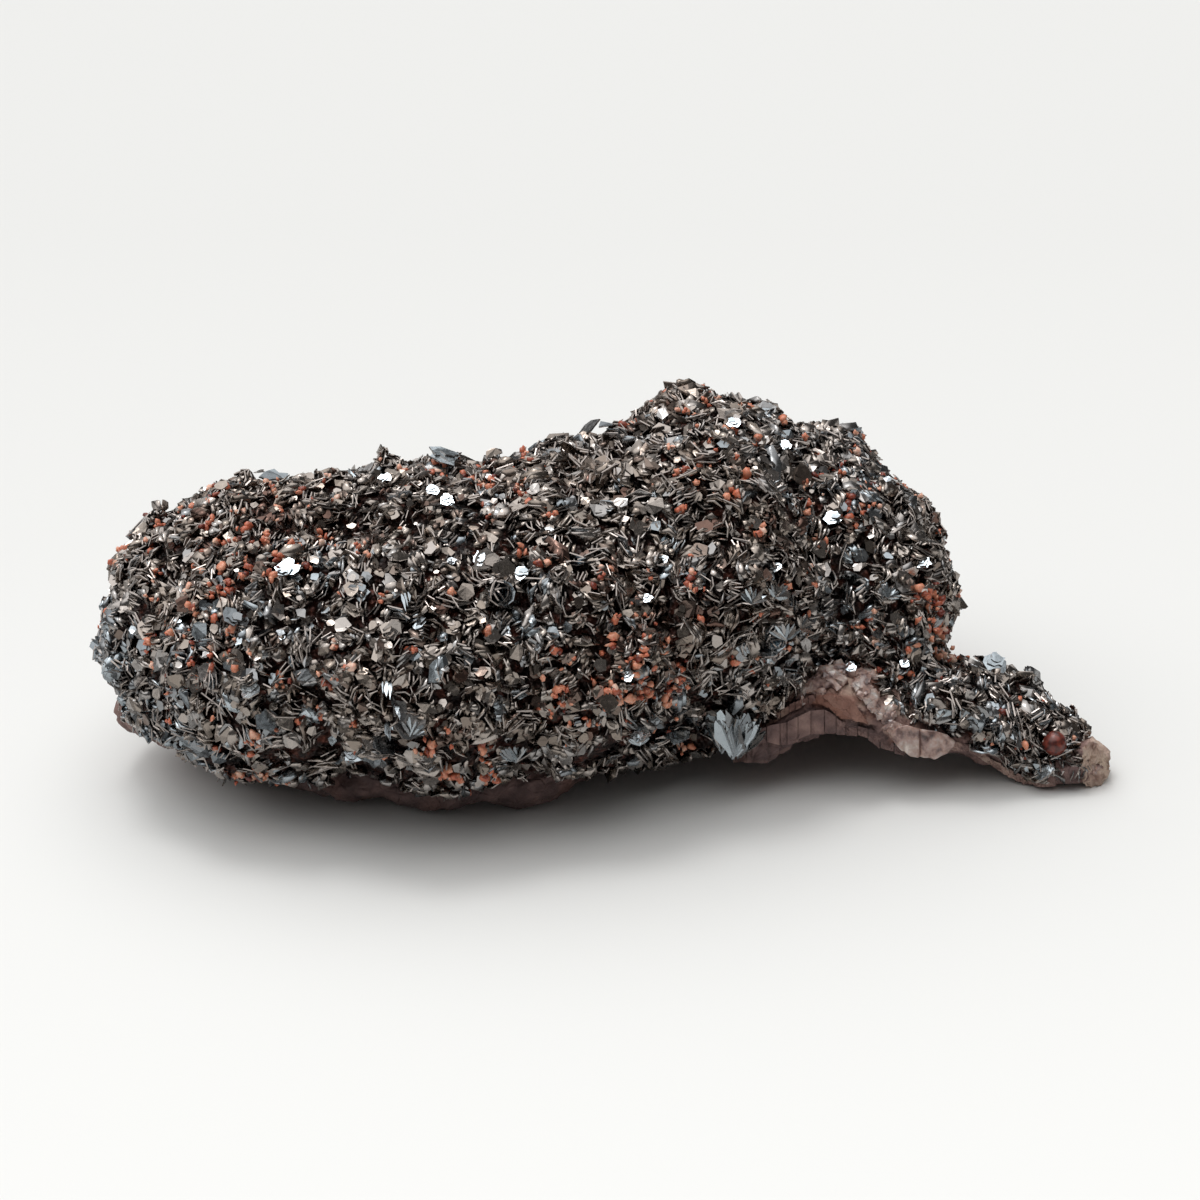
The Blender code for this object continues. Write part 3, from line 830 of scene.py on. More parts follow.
def toneAt(places):
    x, _, z = places.T
    lowLobe = between(z, *toneField["lobeUnder"]) * between(x, *toneField["lobeLeft"])
    leftEnd = between(x, *toneField["leftEnd"])
    tone = toneField["base"] + toneField["patchAmount"] * smoothNoise(places, toneField["patch"], 21)
    rusty = toneField["rustGain"] * smoothNoise(places, toneField["rustPatch"], 25) - toneField["rustFrom"]
    humpLight = between(x, *toneField["humpRight"])
    # painted shade low on the lobe and at its left end, painted light right of the hump
    tone = tone + toneField["shadeBlue"] * np.maximum(lowLobe, leftEnd) + toneField["humpLight"] * humpLight
    return tone - toneField["rust"] * np.clip(rusty, 0, 1)


# Chips that lie on the stacks like shingles, each alone or with one or two more
chips = dict(
    stacks, spacing=1.42, blades=(1, 1, 2), flatShare=1.0, flatLean=(20, 78), faceted=0.55, glints=0.065,
    bend=0.28, radius=(0.35, 0.78), stretch=(0.7, 1.3), tip=(0.0, 0.55), flowScatter=3.0, shadedShare=0.35,
)

# Small low flakes that fill the ground between the stacks
filler = dict(
    stacks, spacing=1.15, blades=(1, 1, 2), lean=40, flatShare=0.4, faceted=1.0, bend=0.2, stretch=(0.8, 1.3),
    radius=(0.4, 0.75), tip=(-0.75, -0.2), flowScatter=3.0,
)

# More blades along the seam with the host rock, where they hang over it
edging = dict(stacks, spacing=1.0, blades=(1, 2, 3), clearOfRock=0.3, reach=1.7, tip=(0.0, 0.7), under=1.0)

# Blades that cover the host rock in front, right of a pixel and down to the line of pixels where it
# lies bare
rockCover = dict(
    stacks, spacing=0.85, clearOfRock=-1, tip=(0.15, 0.65), radius=(0.4, 0.7), under=1.0,
    coverFrom=730, coverUnder=-0.6, lift=0.1, reachOut=9,
    bareFrom=[
        (728, 762), (745, 742), (762, 724), (782, 708), (803, 682), (820, 667), (850, 664), (877, 671),
        (884, 700), (900, 712), (912, 722), (925, 727), (940, 732), (952, 737), (970, 743), (990, 757),
        (1010, 770), (1030, 778), (1050, 784), (1072, 784), (1082, 778), (1088, 700),
    ],
)


# Places for stacks: clear of the host rock, or on it where the photo shows no bare rock there and the
# crust doesn't hide them from the camera
def bladeSeeds(recipe):
    cover = "bareFrom" in recipe
    places, normals = scatter(rockSkin if cover else crustSkin, recipe["spacing"], recipe["crowding"])
    clear = gapToRock(places) > recipe["clearOfRock"]
    if cover:
        across, down = toPixels(places)
        bare = alongLine(recipe["bareFrom"], across)
        clear = (across > recipe["coverFrom"]) & (down < bare) & (normals[:, 2] > recipe["coverUnder"])
        places, normals = places[clear], normals[clear]
        starts = places + normals * recipe["lift"]
        rays = zip(starts, unit(cameraPlace - places))
        hits = [crustTree.ray_cast(Vector(start), Vector(ray), recipe["reachOut"]) for start, ray in rays]
        clear = np.array([hit[0] is None for hit in hits])
    share = np.where(normals @ forward > recipe["backFrom"], recipe["back"], 1.0)
    share = np.where(normals[:, 2] < recipe["underFrom"], recipe["under"], share)
    # in the dark lower left a recipe may keep fewer blades, so that more near-black ground shows as painted
    # shade
    left, top, farLeft = recipe["dark"]
    dark = ((places[:, 0] < left) & (places[:, 2] < top)) | (places[:, 0] < farLeft)
    share = np.where(dark, np.minimum(share, recipe["shadedShare"]), share)
    keep = clear & (rng.random(len(places)) < share) & (gapToRock(places) < recipe["reach"])
    return places[keep], normals[keep]


# Blades that would hide a named plate, rosette or fan: those in front that show within its clear zone
def hidesNamed(blades):
    across, down = toPixels(blades["centre"])
    hides = np.zeros(len(across), bool)
    for x, y, radius, share in clearZones:
        hides |= np.hypot(across - x, down - y) < radius * clearing["pixelsPerMm"] * share
    return hides & (blades["centre"][:, 1] < clearing["front"])


recipes = (stacks, chips, edging, rockCover)
tallBlades = joined(*[stackPlates(*bladeSeeds(recipe), recipe) for recipe in recipes])
allBlades = joined(kept(tallBlades, ~hidesNamed(tallBlades)), stackPlates(*bladeSeeds(filler), filler))

# Blades that would dip under the floor are moved up, by no more than their own radius
lowest = allBlades["centre"][:, 2] - allBlades["radius"] * np.sqrt(1 - allBlades["face"][:, 2] ** 2)
dip = np.maximum(stacks["lowest"] - lowest, 0)
allBlades["centre"][:, 2] += dip
allBlades = kept(allBlades, dip < allBlades["radius"])
print(len(allBlades["tone"]), "blades")

# Regions of the crust by x in mm, from the round lobe to the tail, each a piece of its own
regions = dict(
    blades_lobe=(-99, -30), blades_shoulder=(-30, -18), blades_waist=(-18, -5), blades_hump=(-5, 9),
    blades_tail=(9, 22), blades_tip=(22, 99),
)
for regionName, (start, end) in regions.items():
    x = allBlades["centre"][:, 0]
    platePiece(regionName, kept(allBlades, (x >= start) & (x < end)))

# What the larger plates mirror: the lamp, the soft box, the pale or dim parts of the room, the far side
mirrored = dict(
    glint=sunFrom,
    bright=unit(np.array((-0.35, 0.25, 0.9))),
    pale=unit(np.array((0.45, -0.15, 0.8))),
    dim=unit(np.array((0.5, -0.55, 0.5))),
    skim=unit(np.array((0.15, 0.8, 0.5))),
)
# Pairs are for glints and for the others. Plates with a stretch below upright stand on edge.
plateForm = dict(
    sides=11, lift=0.38, terraces=(1.0, 0.74, 0.5), step=0.1, slide=0.26, tilt=0.05, turn=0.4, upright=0.3,
    scatter=(0.02, 0.08), bend=(0.01, 0.04), twist=0.02, toneStep=0.03,
    same=dict(thickness=0.12, jitter=0.8, ragged=0.32, faceted=True),
)


# A plate's normal halfway between the direction to the camera and the direction that it mirrors, and
# its terraces each smaller and a step further out
def makeLargePlates():
    places, _, good = underPixels(wholeTree, [row[:2] for row in largePlates])
    rows = [row for row, hit in zip(largePlates, good) if hit]
    count = len(rows)
    # tone: partly painted light, palest on the plates that mirror the lamp and the bright box
    radius, stretch, tone = np.array([row[2:5] for row in rows]).T
    glint = np.array([row[5] == "glint" for row in rows])
    face = unit(unit(cameraPlace - places) + np.array([mirrored[row[5]] for row in rows]))
    face = unit(face + rng.normal(0, 1, face.shape) * np.where(glint, *plateForm["scatter"])[:, None])
    turn = rng.uniform(-plateForm["turn"], plateForm["turn"], count)
    turn = turn + np.where(stretch < plateForm["upright"], math.pi, 0)
    side = turned(*tangents(face), turn[:, None])
    slide = rng.uniform(0, 2 * math.pi, count)
    layers = []
    for level, scale in enumerate(plateForm["terraces"]):
        lift = plateForm["lift"] + level * plateForm["step"]
        shift = np.stack([np.cos(slide), np.sin(slide)])[..., None]
        shift = plateForm["slide"] * level * radius[:, None] * shift
        tilted = rng.normal(0, plateForm["tilt"], face.shape) * np.where(glint, level, 1)[:, None]
        tilted = unit(face + tilted)
        layers.append(plateSet(
            places + face * lift + side * shift[0] + np.cross(face, side) * shift[1],
            tilted,
            unit(side - tilted * (side * tilted).sum(1, keepdims=True)),
            radius * scale,
            stretch=stretch,
            bend=rng.uniform(-1, 1, count) * np.where(glint, *plateForm["bend"]),
            twist=rng.normal(0, plateForm["twist"], count),
            tone=tone - plateForm["toneStep"] * level,
            **plateForm["same"],
        ))
    platePiece("plates_large", joined(*layers), plateForm["sides"], 0.0)


makeLargePlates()

# A rosette's rings: reach as a share of its radius, and number of petals. Lean in radians and rise in
# mm change with the reach, as does the width, a share of the radius.
rosetteForm = dict(
    rings=((0.3, 3), (0.6, 5), (0.85, 6)), angle=0.3, lean=(0.2, 0.55), leanScatter=0.15, width=(0.35, 0.3),
    rise=(0.75, -0.45), spread=0.75, sink=0.7, size=(0.85, 1.1), bend=-0.12, twist=0.03, toneScatter=0.06,
    same=dict(stretch=1.15, thickness=0.12, jitter=0.4, ragged=0.08, faceted=True),
)


# Petal k of a ring stands at angle 2 pi k / n and reach r from the axis, leaning outwards by r / size
def rosettePlates(centre, axis, size, tone):
    first, second = (t[0] for t in tangents(axis[None]))
    groups = []
    for reach, number in rosetteForm["rings"]:
        lines = (rosetteForm[key] for key in ("lean", "width", "rise"))
        lean, width, rise = (start + change * reach for start, change in lines)
        angle = 2 * math.pi * (np.arange(number) + rng.uniform(0, 1)) / number
        angle = angle + rng.normal(0, rosetteForm["angle"], number)
        out = turned(first, second, angle[:, None])
        lean = (lean + rng.normal(0, rosetteForm["leanScatter"], number))[:, None]
        up, face = turned(axis, out, lean), turned(out, -axis, lean)
        width = size * width
        middles = centre + out * reach * size * rosetteForm["spread"] + axis * rise
        groups.append(plateSet(
            middles - up * width * rosetteForm["sink"],
            face,
            unit(np.cross(up, face)),
            width * rng.uniform(*rosetteForm["size"], number),
            bend=rosetteForm["bend"] / size,
            twist=rng.normal(0, rosetteForm["twist"], number),
            tone=np.clip(tone + rng.normal(0, rosetteForm["toneScatter"], number), 0, 1),
            **rosetteForm["same"],
        ))
    return joined(*groups)


# Fans of more than manyFrom blades have the narrower ones. Angles are in radians, lifts in mm.
fanForm = dict(
    spread=62, blades=13, pixelsPerMm=10.6, reach=(0.75, 1.05), angle=0.05, usual=2, turn=0.42,
    lift=(0.7, 1.1), manyFrom=10, narrow=(0.11, 0.2), wide=(0.2, 0.32), bend=(-0.1, 0.1), twist=0.04,
    toneScatter=0.1, same=dict(thickness=0.13, jitter=0.5, ragged=0.16, faceted=True),
)


# Blade k of a fan lies in the plane that best fits the depths under the fan, from its root to the end
# of its reach at its angle, spread evenly about the fan's own
def fanPlates(x, y, degrees, length, tone, spread=fanForm["spread"], number=fanForm["blades"]):
    angle = np.radians(degrees + np.linspace(-spread, spread, number))
    angle = angle + rng.normal(0, fanForm["angle"], number)
    reach = length * fanForm["pixelsPerMm"] * rng.uniform(*fanForm["reach"], number)
    ends = np.stack([x + reach * np.cos(angle), y - reach * np.sin(angle)], 1)
    middles = (ends + (x, y)) / 2
    places = underPixels(wholeTree, np.concatenate([[(x, y)], middles, ends]))[0]
    depth = (places - cameraPlace) @ forward
    usual = np.abs(depth - np.median(depth)) < fanForm["usual"]
    across, down = toPixels(places)
    sides = np.stack([across, down, np.ones(len(across))], 1)
    slope = np.linalg.lstsq(sides[usual], depth[usual], rcond=None)[0]
    pixels = np.concatenate([[(x, y)], ends])
    onPlane = fromPixels(*pixels.T, pixels @ slope[:2] + slope[2])
    root, tips = onPlane[0], onPlane[1:]
    toCamera = unit(cameraPlace - root)
    up = unit(tips - root)
    face = unit(toCamera - up * (up @ toCamera)[:, None])
    face = unit(face + np.cross(up, face) * rng.normal(0, fanForm["turn"], (number, 1)))
    return plateSet(
        (root + tips) / 2 + toCamera * rng.uniform(*fanForm["lift"], (number, 1)),
        face,
        unit(np.cross(up, face)),
        np.linalg.norm(tips - root, axis=1) / 2,
        stretch=rng.uniform(*fanForm["narrow" if number > fanForm["manyFrom"] else "wide"], number),
        bend=rng.uniform(*fanForm["bend"], number),
        twist=rng.normal(0, fanForm["twist"], number),
        tone=np.clip(tone + rng.normal(0, fanForm["toneScatter"], number), 0, 1),
        **fanForm["same"],
    )


# Rosettes turned partly towards the camera, and fans, lifted where their lowest point would reach the
# floor: half height = radius * hypot(long side's z, stretch * short side's z)
def makeRosettes():
    places, facing, _ = underPixels(crustTree, [row[:2] for row in rosettes])
    groups = [
        rosettePlates(place, unit(normal + unit(cameraPlace - place) * 0.8), *row[2:])
        for place, normal, row in zip(places, facing, rosettes)
    ]
    plates = joined(*groups, *[fanPlates(*row) for row in fans])
    long = np.cross(plates["face"], plates["side"])[:, 2]
    low = np.hypot(long, plates["stretch"] * plates["side"][:, 2]) * plates["radius"]
    plates["centre"][:, 2] += np.maximum(low + stacks["lowest"] - plates["centre"][:, 2], 0)
    platePiece("plates_rosettes", plates, 10, 0.2)


makeRosettes()


# Host rock: its skin with broken, blocky relief. Cells stand out by their own number, with a dent
# between them, and finer noise on top. In front, the arch has a standing band below a ledge line, cut
# across by cracks, and a lens-shaped blade of rusty rock above it. Lines are in pixels of the photo.
rock = dict(
    block=2.4, blockHeight=0.55, blockFlat=(1, 1, 1.3), dent=4, dentDepth=0.3, chip=0.9, chipHeight=0.24,
    fine=0.6, fineHeight=0.1, archCalm=0.2,
    # the arch: pixels across where it begins and ends, the band's edge and foot in pixels below the
    # ledge, its blocks' size in pixels, and heights in mm
    archFrom=(726, 738), archTo=(905, 925), bandEdge=(-1.2, 1.2), bandFoot=(30, 45), blockPixels=(8.5, 60),
    band=0.32, crack=0.3, crackEdge=(0.03, 0.16), step=0.22, groove=0.28, grooveWidth=1.4,
    lens=0.38, lensSpan=(808, 868), lensEdge=(-0.5, 2), rimWidth=1.5, slopeFrom=(780, 850),
    # facing of the camera, and z or x in mm: where relief begins above the floor, and the pale tip
    seen=(0.0, 0.25), standing=(0.3, 1.1), tip=(42.5, 44.5),
    ledge=[
        (728, 762), (742, 742), (755, 731), (770, 725), (786, 722), (802, 714), (812, 709), (824, 708),
        (832, 713), (840, 722), (860, 726), (878, 730), (895, 745), (912, 752),
    ],
    lensTop=[(808, 704), (820, 692), (837, 694), (852, 702), (868, 717)],
    lensLow=[(808, 705), (824, 707), (840, 721), (868, 720)],
)


# How pale and rusty the host rock is: shares of its parts and of smooth noise, with its size in mm. Shade,
# line and rim are painted shade: darker low down near the floor, in the groove along the ledge and round the
# lens
rockTone = dict(
    pale=0.36, patch=(0.12, 7.0), tip=0.45, slope=0.3, slopePatch=(0.25, 0.9), band=-0.05, shade=-0.14,
    shadeUnder=(4, 1), shadeTo=720, line=-0.3, lineWidth=2, rim=-0.45, crack=-0.2,
    rust=0.7, slopeRust=(0.6, 1.6), rustPatch=(0.5, 3.0), rustFrom=0.3,
)


# Amount of a patchy share, and the smooth noise that it is multiplied by
def patches(points, key, seed):
    amount, size = rockTone[key]
    return amount, smoothNoise(points, size, seed)


# Points move along their normals by blocks + chips + fine noise, calmed in the arch, and by the arch's
# own sculpting there, all fading out at the floor
def makeRock():
    points, normals, quads = rockSkin
    nearest, second, own = cellNoise(points * rock["blockFlat"], rock["block"], 31)
    edge = np.minimum(1, rock["dent"] * (second - nearest))
    move = rock["blockHeight"] * ((own - 0.5) * edge - rock["dentDepth"] * (1 - edge))
    nearest, second, own = cellNoise(points, rock["chip"], 35)
    move = move + rock["chipHeight"] * (own - 0.5) * np.minimum(1, rock["dent"] * (second - nearest))
    move = move + rock["fineHeight"] * roughNoise(points, rock["fine"], 44, 2)
    across, down = toPixels(points)
    seen = smoothStep(-normals @ forward, *rock["seen"])
    arch = seen * smoothStep(across, *rock["archFrom"]) * (1 - smoothStep(across, *rock["archTo"]))
    below = down - alongLine(rock["ledge"], across)
    band = smoothStep(below, *rock["bandEdge"])
    inBand = band * (1 - smoothStep(below, *rock["bandFoot"]))
    wide, high = rock["blockPixels"]
    blockNear, blockSecond, blockOwn = cellNoise(np.stack([across / wide, down / high, 0 * down], 1), 1.0, 77)
    crack = 1 - smoothStep(blockSecond - blockNear, *rock["crackEdge"])
    sculpt = rock["band"] * (band - 0.5) - rock["groove"] * np.exp(-((below / rock["grooveWidth"]) ** 2))
    sculpt = sculpt + inBand * (rock["step"] * (blockOwn - 0.5) - rock["crack"] * crack)
    top, low = down - alongLine(rock["lensTop"], across), alongLine(rock["lensLow"], across) - down
    start, end = rock["lensSpan"]
    inLens = (across > start) * (across < end)
    lens = smoothStep(top, *rock["lensEdge"]) * smoothStep(low, *rock["lensEdge"]) * inLens
    rimmed = sum(np.exp(-((line / rock["rimWidth"]) ** 2)) for line in (top, low)) * inLens
    sculpt = sculpt + rock["lens"] * lens - rock["groove"] * rimmed
    move = (move * (1 - rock["archCalm"] * arch) + sculpt * arch) * between(points[:, 2], *rock["standing"])
    moved = points + normals * move[:, None]
    moved[:, 2] = np.maximum(moved[:, 2], 0.0)
    slope = arch * (1 - band) * smoothStep(across, *rock["slopeFrom"]) * (1 - lens)
    amount, patch = patches(points, "patch", 50)
    pale = rockTone["pale"] + amount * patch + rockTone["tip"] * smoothStep(points[:, 0], *rock["tip"])
    pale = pale + rockTone["slope"] * slope + rockTone["band"] * inBand * arch
    # painted shade: darker low down near the floor in front, left of the arch
    shaded = between(points[:, 2], *rockTone["shadeUnder"]) * (across < rockTone["shadeTo"]) * seen
    amount, patch = patches(points, "slopePatch", 54)
    pale = pale + rockTone["shade"] * shaded + amount * slope * patch
    # painted shade in the groove along the ledge and round the lens; the darker cracks in the band are their
    # own colour
    pale = pale + rockTone["line"] * arch * np.exp(-((below / rockTone["lineWidth"]) ** 2))
    pale = pale + rockTone["rim"] * arch * rimmed + rockTone["crack"] * inBand * arch * crack
    amount, patch = patches(points, "slopeRust", 53)
    rust = rockTone["rust"] * lens * arch + amount * slope * np.clip(patch * 2, 0, 1)
    amount, patch = patches(points, "rustPatch", 52)
    rust = np.clip(rust + amount * np.clip(patch - rockTone["rustFrom"], 0, 1), 0, 1)
    piece = makePiece("host_rock", moved, [quads], rockFinish, "host_rock", pale=pale, rust=rust)
    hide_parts("matrix")


makeRock()


# Depth of the rock along the view under a line of pixels, filled in where they miss it and evened
def depthUnder(pixels):
    places, _, good = underPixels(rockTree, pixels)
    depth = np.interp(np.arange(len(good)), np.flatnonzero(good), (places - cameraPlace) @ forward)
    return np.convolve(np.pad(depth, 4, "edge"), np.ones(9) / 9, "valid")


# Closed slabs between two lines of pixels, all at once. Point (u, v) of a front lies under the pixel
# that is u of the way along the slab and v of the way from the upper line to the lower one, at the
# rock's depth less a lift; the back lies further in by the thickness. Slabs take a part of the slope.
slabSlope = 0.4


def slabs(starts, ends, top, low, grid, lift, thickness, shift=(0, 0)):
    u, v = np.linspace(0, 1, grid[1]), np.linspace(0, 1, grid[0])
    across = (starts[:, None] + (ends - starts)[:, None] * u)[:, None] + np.zeros((1, grid[0], 1))
    upper = alongLine(top, across) + np.reshape(shift[0], (-1, 1, 1))
    lower = alongLine(low, across) + np.reshape(shift[1], (-1, 1, 1))
    down = upper + (lower - upper) * v[:, None]
    line = np.arange(starts.min(), ends.max() + 1, 1.0)
    centre = (alongLine(top, line) + alongLine(low, line)) / 2
    depth = np.interp(across, line, depthUnder(np.stack([line, centre], 1)))
    away = (down - np.interp(across, line, centre)) * depth / focal
    return across, down, depth + slabSlope * away - lift, thickness


# Slabs' points and faces: fronts, backs and the belts between them, all just above the floor
def slabMesh(across, down, depth, thickness):
    count, rows, columns = across.shape
    sheets = [fromPixels(across, down, deep).reshape(count, -1, 3) for deep in (depth, depth + thickness)]
    points = np.concatenate(sheets, 1)
    points[..., 2] = np.maximum(points[..., 2], 0.02)
    number = np.arange(rows * columns).reshape(rows, columns)
    a, b, c, d = number[:-1, :-1], number[1:, :-1], number[1:, 1:], number[:-1, 1:]
    front = np.stack([a, b, c, d], -1).reshape(-1, 4)
    back = front[:, ::-1] + rows * columns
    loop = np.concatenate([number[:, 0], number[-1, 1:], number[-2::-1, -1], number[0, -2:0:-1]])
    after = np.roll(loop, -1)
    belt = np.stack([loop, loop + rows * columns, after + rows * columns, after], 1)
    return points.reshape(-1, 3), repeated(np.concatenate([front, back, belt]), count, 2 * rows * columns)


# Points and faces of several meshes as those of one
def joinedMeshes(meshes):
    start = np.cumsum([0] + [len(points) for points, _ in meshes])
    faces = [faces + shift for (_, faces), shift in zip(meshes, start)]
    return np.concatenate([points for points, _ in meshes]), np.concatenate(faces)


# Broken edges of the host rock round the arch, crisper than its skin: a row of blocks with cracks
# between them, a thin layer above its foot, the rusty lens, the thin edge of the tail and its tip
edges = dict(
    band=[
        (733, 757), (742, 743), (755, 732), (770, 726), (786, 723), (802, 715), (812, 710), (824, 709),
        (832, 713), (840, 720), (860, 726), (878, 731), (895, 745), (905, 751),
    ],
    bandLow=[
        (733, 762), (751, 760), (757, 751), (765, 741), (784, 746), (795, 742), (812, 734), (832, 734),
        (855, 735), (870, 740), (882, 750), (900, 754), (905, 755),
    ],
    layer=[(752, 729), (765, 720), (778, 712), (790, 704), (802, 698), (822, 693)],
    layerLow=[(752, 736), (765, 727), (778, 720), (790, 713), (802, 707), (822, 700)],
    lens=[(823, 696), (834, 695), (845, 698), (856, 706), (868, 723)],
    lensLow=[(823, 697), (834, 707), (845, 716), (856, 721), (868, 724)],
    tail=[(950, 741), (970, 745), (990, 758), (1010, 770), (1030, 778), (1056, 781)],
    tailLow=[(950, 750), (970, 752), (990, 765), (1007, 776), (1022, 783), (1040, 787), (1056, 786)],
    tip=[(1082, 748), (1092, 741), (1100, 745), (1106, 755), (1109, 768)],
    tipLow=[(1082, 784), (1092, 786), (1102, 785), (1107, 778), (1109, 770)],
)


# The slabs: their two lines, pixels across from and to, the range of their widths where they are cut
# into blocks, points down and along, lift and thickness in mm, tone, and unevenness of the ends in
# pixels, of the surface in mm and of the points in pixels
edgeSlabs = [
    dict(lines=("band", "bandLow"), span=(733, 905), cuts=(5, 15), grid=(5, 4), lift=0.5, thickness=1.3,
         pale=0.4, rust=0.0, ragged=(0.7, 1.3)),
    dict(lines=("layer", "layerLow"), span=(752, 822), cuts=(4, 9), grid=(4, 4), lift=0.45, thickness=1.0,
         pale=0.55, rust=0.25, ragged=(1.2, 0.8)),
    dict(lines=("lens", "lensLow"), span=(823, 868), grid=(5, 20), lift=0.85, thickness=0.5,
         pale=0.62, rust=0.6, rough=0.03, jag=0.25),
    dict(lines=("tail", "tailLow"), span=(950, 1056), grid=(5, 50), lift=0.35, thickness=0.7,
         pale=0.5, rust=0.0, rough=0.06, jag=0.4),
    dict(lines=("tip", "tipLow"), span=(1082, 1109), grid=(12, 12), lift=0.4, thickness=0.7,
         pale=0.9, rust=0.1, rough=0.16, jag=1.1),
]
edgeForm = dict(gap=0.35, rough=0.04, liftRange=(-0.12, 0.12), toneScatter=0.06, patch=(0.2, 1.1))


# Cuts along a line of pixels, with steps drawn evenly between two widths and a gap at each
def cutsAlong(start, end, narrow, wide):
    cuts = start + np.cumsum(rng.uniform(narrow, wide, 200))
    cuts = np.concatenate([[start], cuts[cuts < end - narrow], [end]])
    return cuts[:-1] + edgeForm["gap"], cuts[1:] - edgeForm["gap"]


# One entry of the slabs as points, faces and the points' paleness and rust
def edgeMesh(look):
    starts, ends = np.array(look["span"], float)[:, None]
    if "cuts" in look:
        starts, ends = cutsAlong(*look["span"], *look["cuts"])
    count, grid, lift = len(starts), look["grid"], look["lift"]
    if count > 1:
        lift = (lift + rng.uniform(*edgeForm["liftRange"], count))[:, None, None]
    lift = lift + rng.normal(0, look.get("rough", edgeForm["rough"]), (count, *grid))
    shift = [rng.uniform(-reach, reach, count) for reach in look.get("ragged", (0.0, 0.0))]
    top, low = (edges[line] for line in look["lines"])
    across, down, depth, thickness = slabs(starts, ends, top, low, grid, lift, look["thickness"], shift)
    if "jag" in look:
        wobble = rng.normal(0, look["jag"], (2, *across.shape))
        across, down = across + wobble[0], down + wobble[1]
    points, faces = slabMesh(across, down, depth, thickness)
    pale = np.repeat(look["pale"] + rng.normal(0, edgeForm["toneScatter"], count), 2 * grid[0] * grid[1])
    amount, size = edgeForm["patch"]
    return points, faces, pale + amount * smoothNoise(points, size, 90), np.full(len(points), look["rust"])


# All slabs as one piece
def makeEdges():
    meshes = [edgeMesh(look) for look in edgeSlabs]
    points, faces = joinedMeshes([mesh[:2] for mesh in meshes])
    pale, rust = (np.concatenate([mesh[k] for mesh in meshes]) for k in (2, 3))
    flat = np.ones(len(faces), bool)
    makePiece("host_rock_edges", points, [faces], rockFinish, "host_rock", flat, pale=pale, rust=rust)


makeEdges()

# Orange-red grains between the blades: loose ones in patches, and the clumps that show in the photo.
# Clumps are (pixel across, pixel down, spread in pixels, number).
grains = dict(
    spacing=2.3, crowding=8, clearOfRock=0.9, patch=(0.7, 8.0), cluster=(0.6, 2.4), share=0.42,
    group=(1, 2, 3, 4, 5), spread=0.38, clumpSpread=0.6, radius=(0.14, 0.4), tip=(-0.2, 0.4),
    clumpTip=(0.2, 0.75), rows=4, columns=6, rough=0.44, tone=(0.57, 0.24), toneRange=(0.15, 1),
    clumps=[
        (207, 529, 5, 3), (267, 539, 5, 3), (275, 558, 5, 4), (252, 567, 4, 2), (270, 574, 5, 3),
        (360, 554, 5, 4), (370, 557, 4, 2), (383, 597, 4, 2), (231, 586, 5, 3), (219, 592, 5, 3),
        (193, 605, 5, 3), (173, 633, 5, 3), (196, 643, 5, 3), (189, 664, 5, 3), (213, 655, 4, 2),
        (213, 668, 4, 2), (301, 493, 4, 2), (275, 498, 5, 3), (329, 484, 5, 3), (524, 495, 10, 9),
        (491, 478, 6, 4), (527, 457, 6, 4), (553, 517, 6, 4), (522, 551, 6, 4), (545, 564, 5, 3),
        (453, 592, 5, 3), (484, 628, 5, 3), (417, 651, 5, 3), (555, 651, 5, 3), (681, 511, 6, 4),
        (601, 580, 6, 4), (602, 576, 5, 3), (690, 577, 5, 3), (694, 593, 7, 5), (613, 615, 6, 4),
        (612, 643, 6, 4), (614, 694, 8, 6), (640, 655, 7, 5), (680, 683, 6, 5), (618, 672, 5, 3),
        (430, 750, 10, 9), (450, 735, 6, 4), (560, 690, 10, 8), (640, 690, 18, 14), (670, 700, 14, 8),
        (809, 503, 5, 4), (803, 515, 4, 3), (730, 492, 5, 3), (860, 513, 5, 3), (763, 531, 6, 4),
        (682, 410, 4, 2), (801, 438, 4, 2), (855, 452, 4, 2), (812, 668, 4, 3), (930, 600, 16, 20),
        (934, 630, 18, 26), (955, 655, 10, 10), (878, 668, 4, 3), (901, 708, 4, 2),
    ],
)


# Rounded grains, all at once. A grain is a closed surface of two parameters, longitude and
# latitude: a ball whose radius varies a little at each point and which is stretched three ways.
def grainMesh(centres, axes, radii, rows, columns, rough):
    count = len(centres)
    latitude = math.pi * (np.arange(1, rows) / rows - 0.5)
    longitude = 2 * math.pi * np.arange(columns) / columns
    lat, lon = (g.ravel() for g in np.meshgrid(latitude, longitude, indexing="ij"))
    ball = np.stack([np.cos(lat) * np.cos(lon), np.cos(lat) * np.sin(lon), np.sin(lat)], 1)
    ball = np.concatenate([[(0, 0, -1)], ball, [(0, 0, 1)]])
    local = ball * rng.uniform(1 - rough, 1 + rough, (count, len(ball), 1))
    local = local * rng.uniform(1 - rough, 1 + rough, (count, 1, 3))
    points = centres[:, None] + radii[:, None, None] * (local @ axes)
    here = np.arange(columns)
    after = (here + 1) % columns
    ring = 1 + columns * np.arange(rows - 2)[:, None]
    belt = np.stack([ring + here, ring + after, ring + columns + after, ring + columns + here], -1)
    top = 1 + columns * (rows - 2)
    caps = np.concatenate([
        np.stack([np.zeros(columns, int), 1 + after, 1 + here], 1),
        np.stack([np.full(columns, len(ball) - 1), top + here, top + after], 1),
    ])
    faces = [repeated(caps, count, len(ball)), repeated(belt.reshape(-1, 4), count, len(ball))]
    return points.reshape(-1, 3), faces, len(ball)


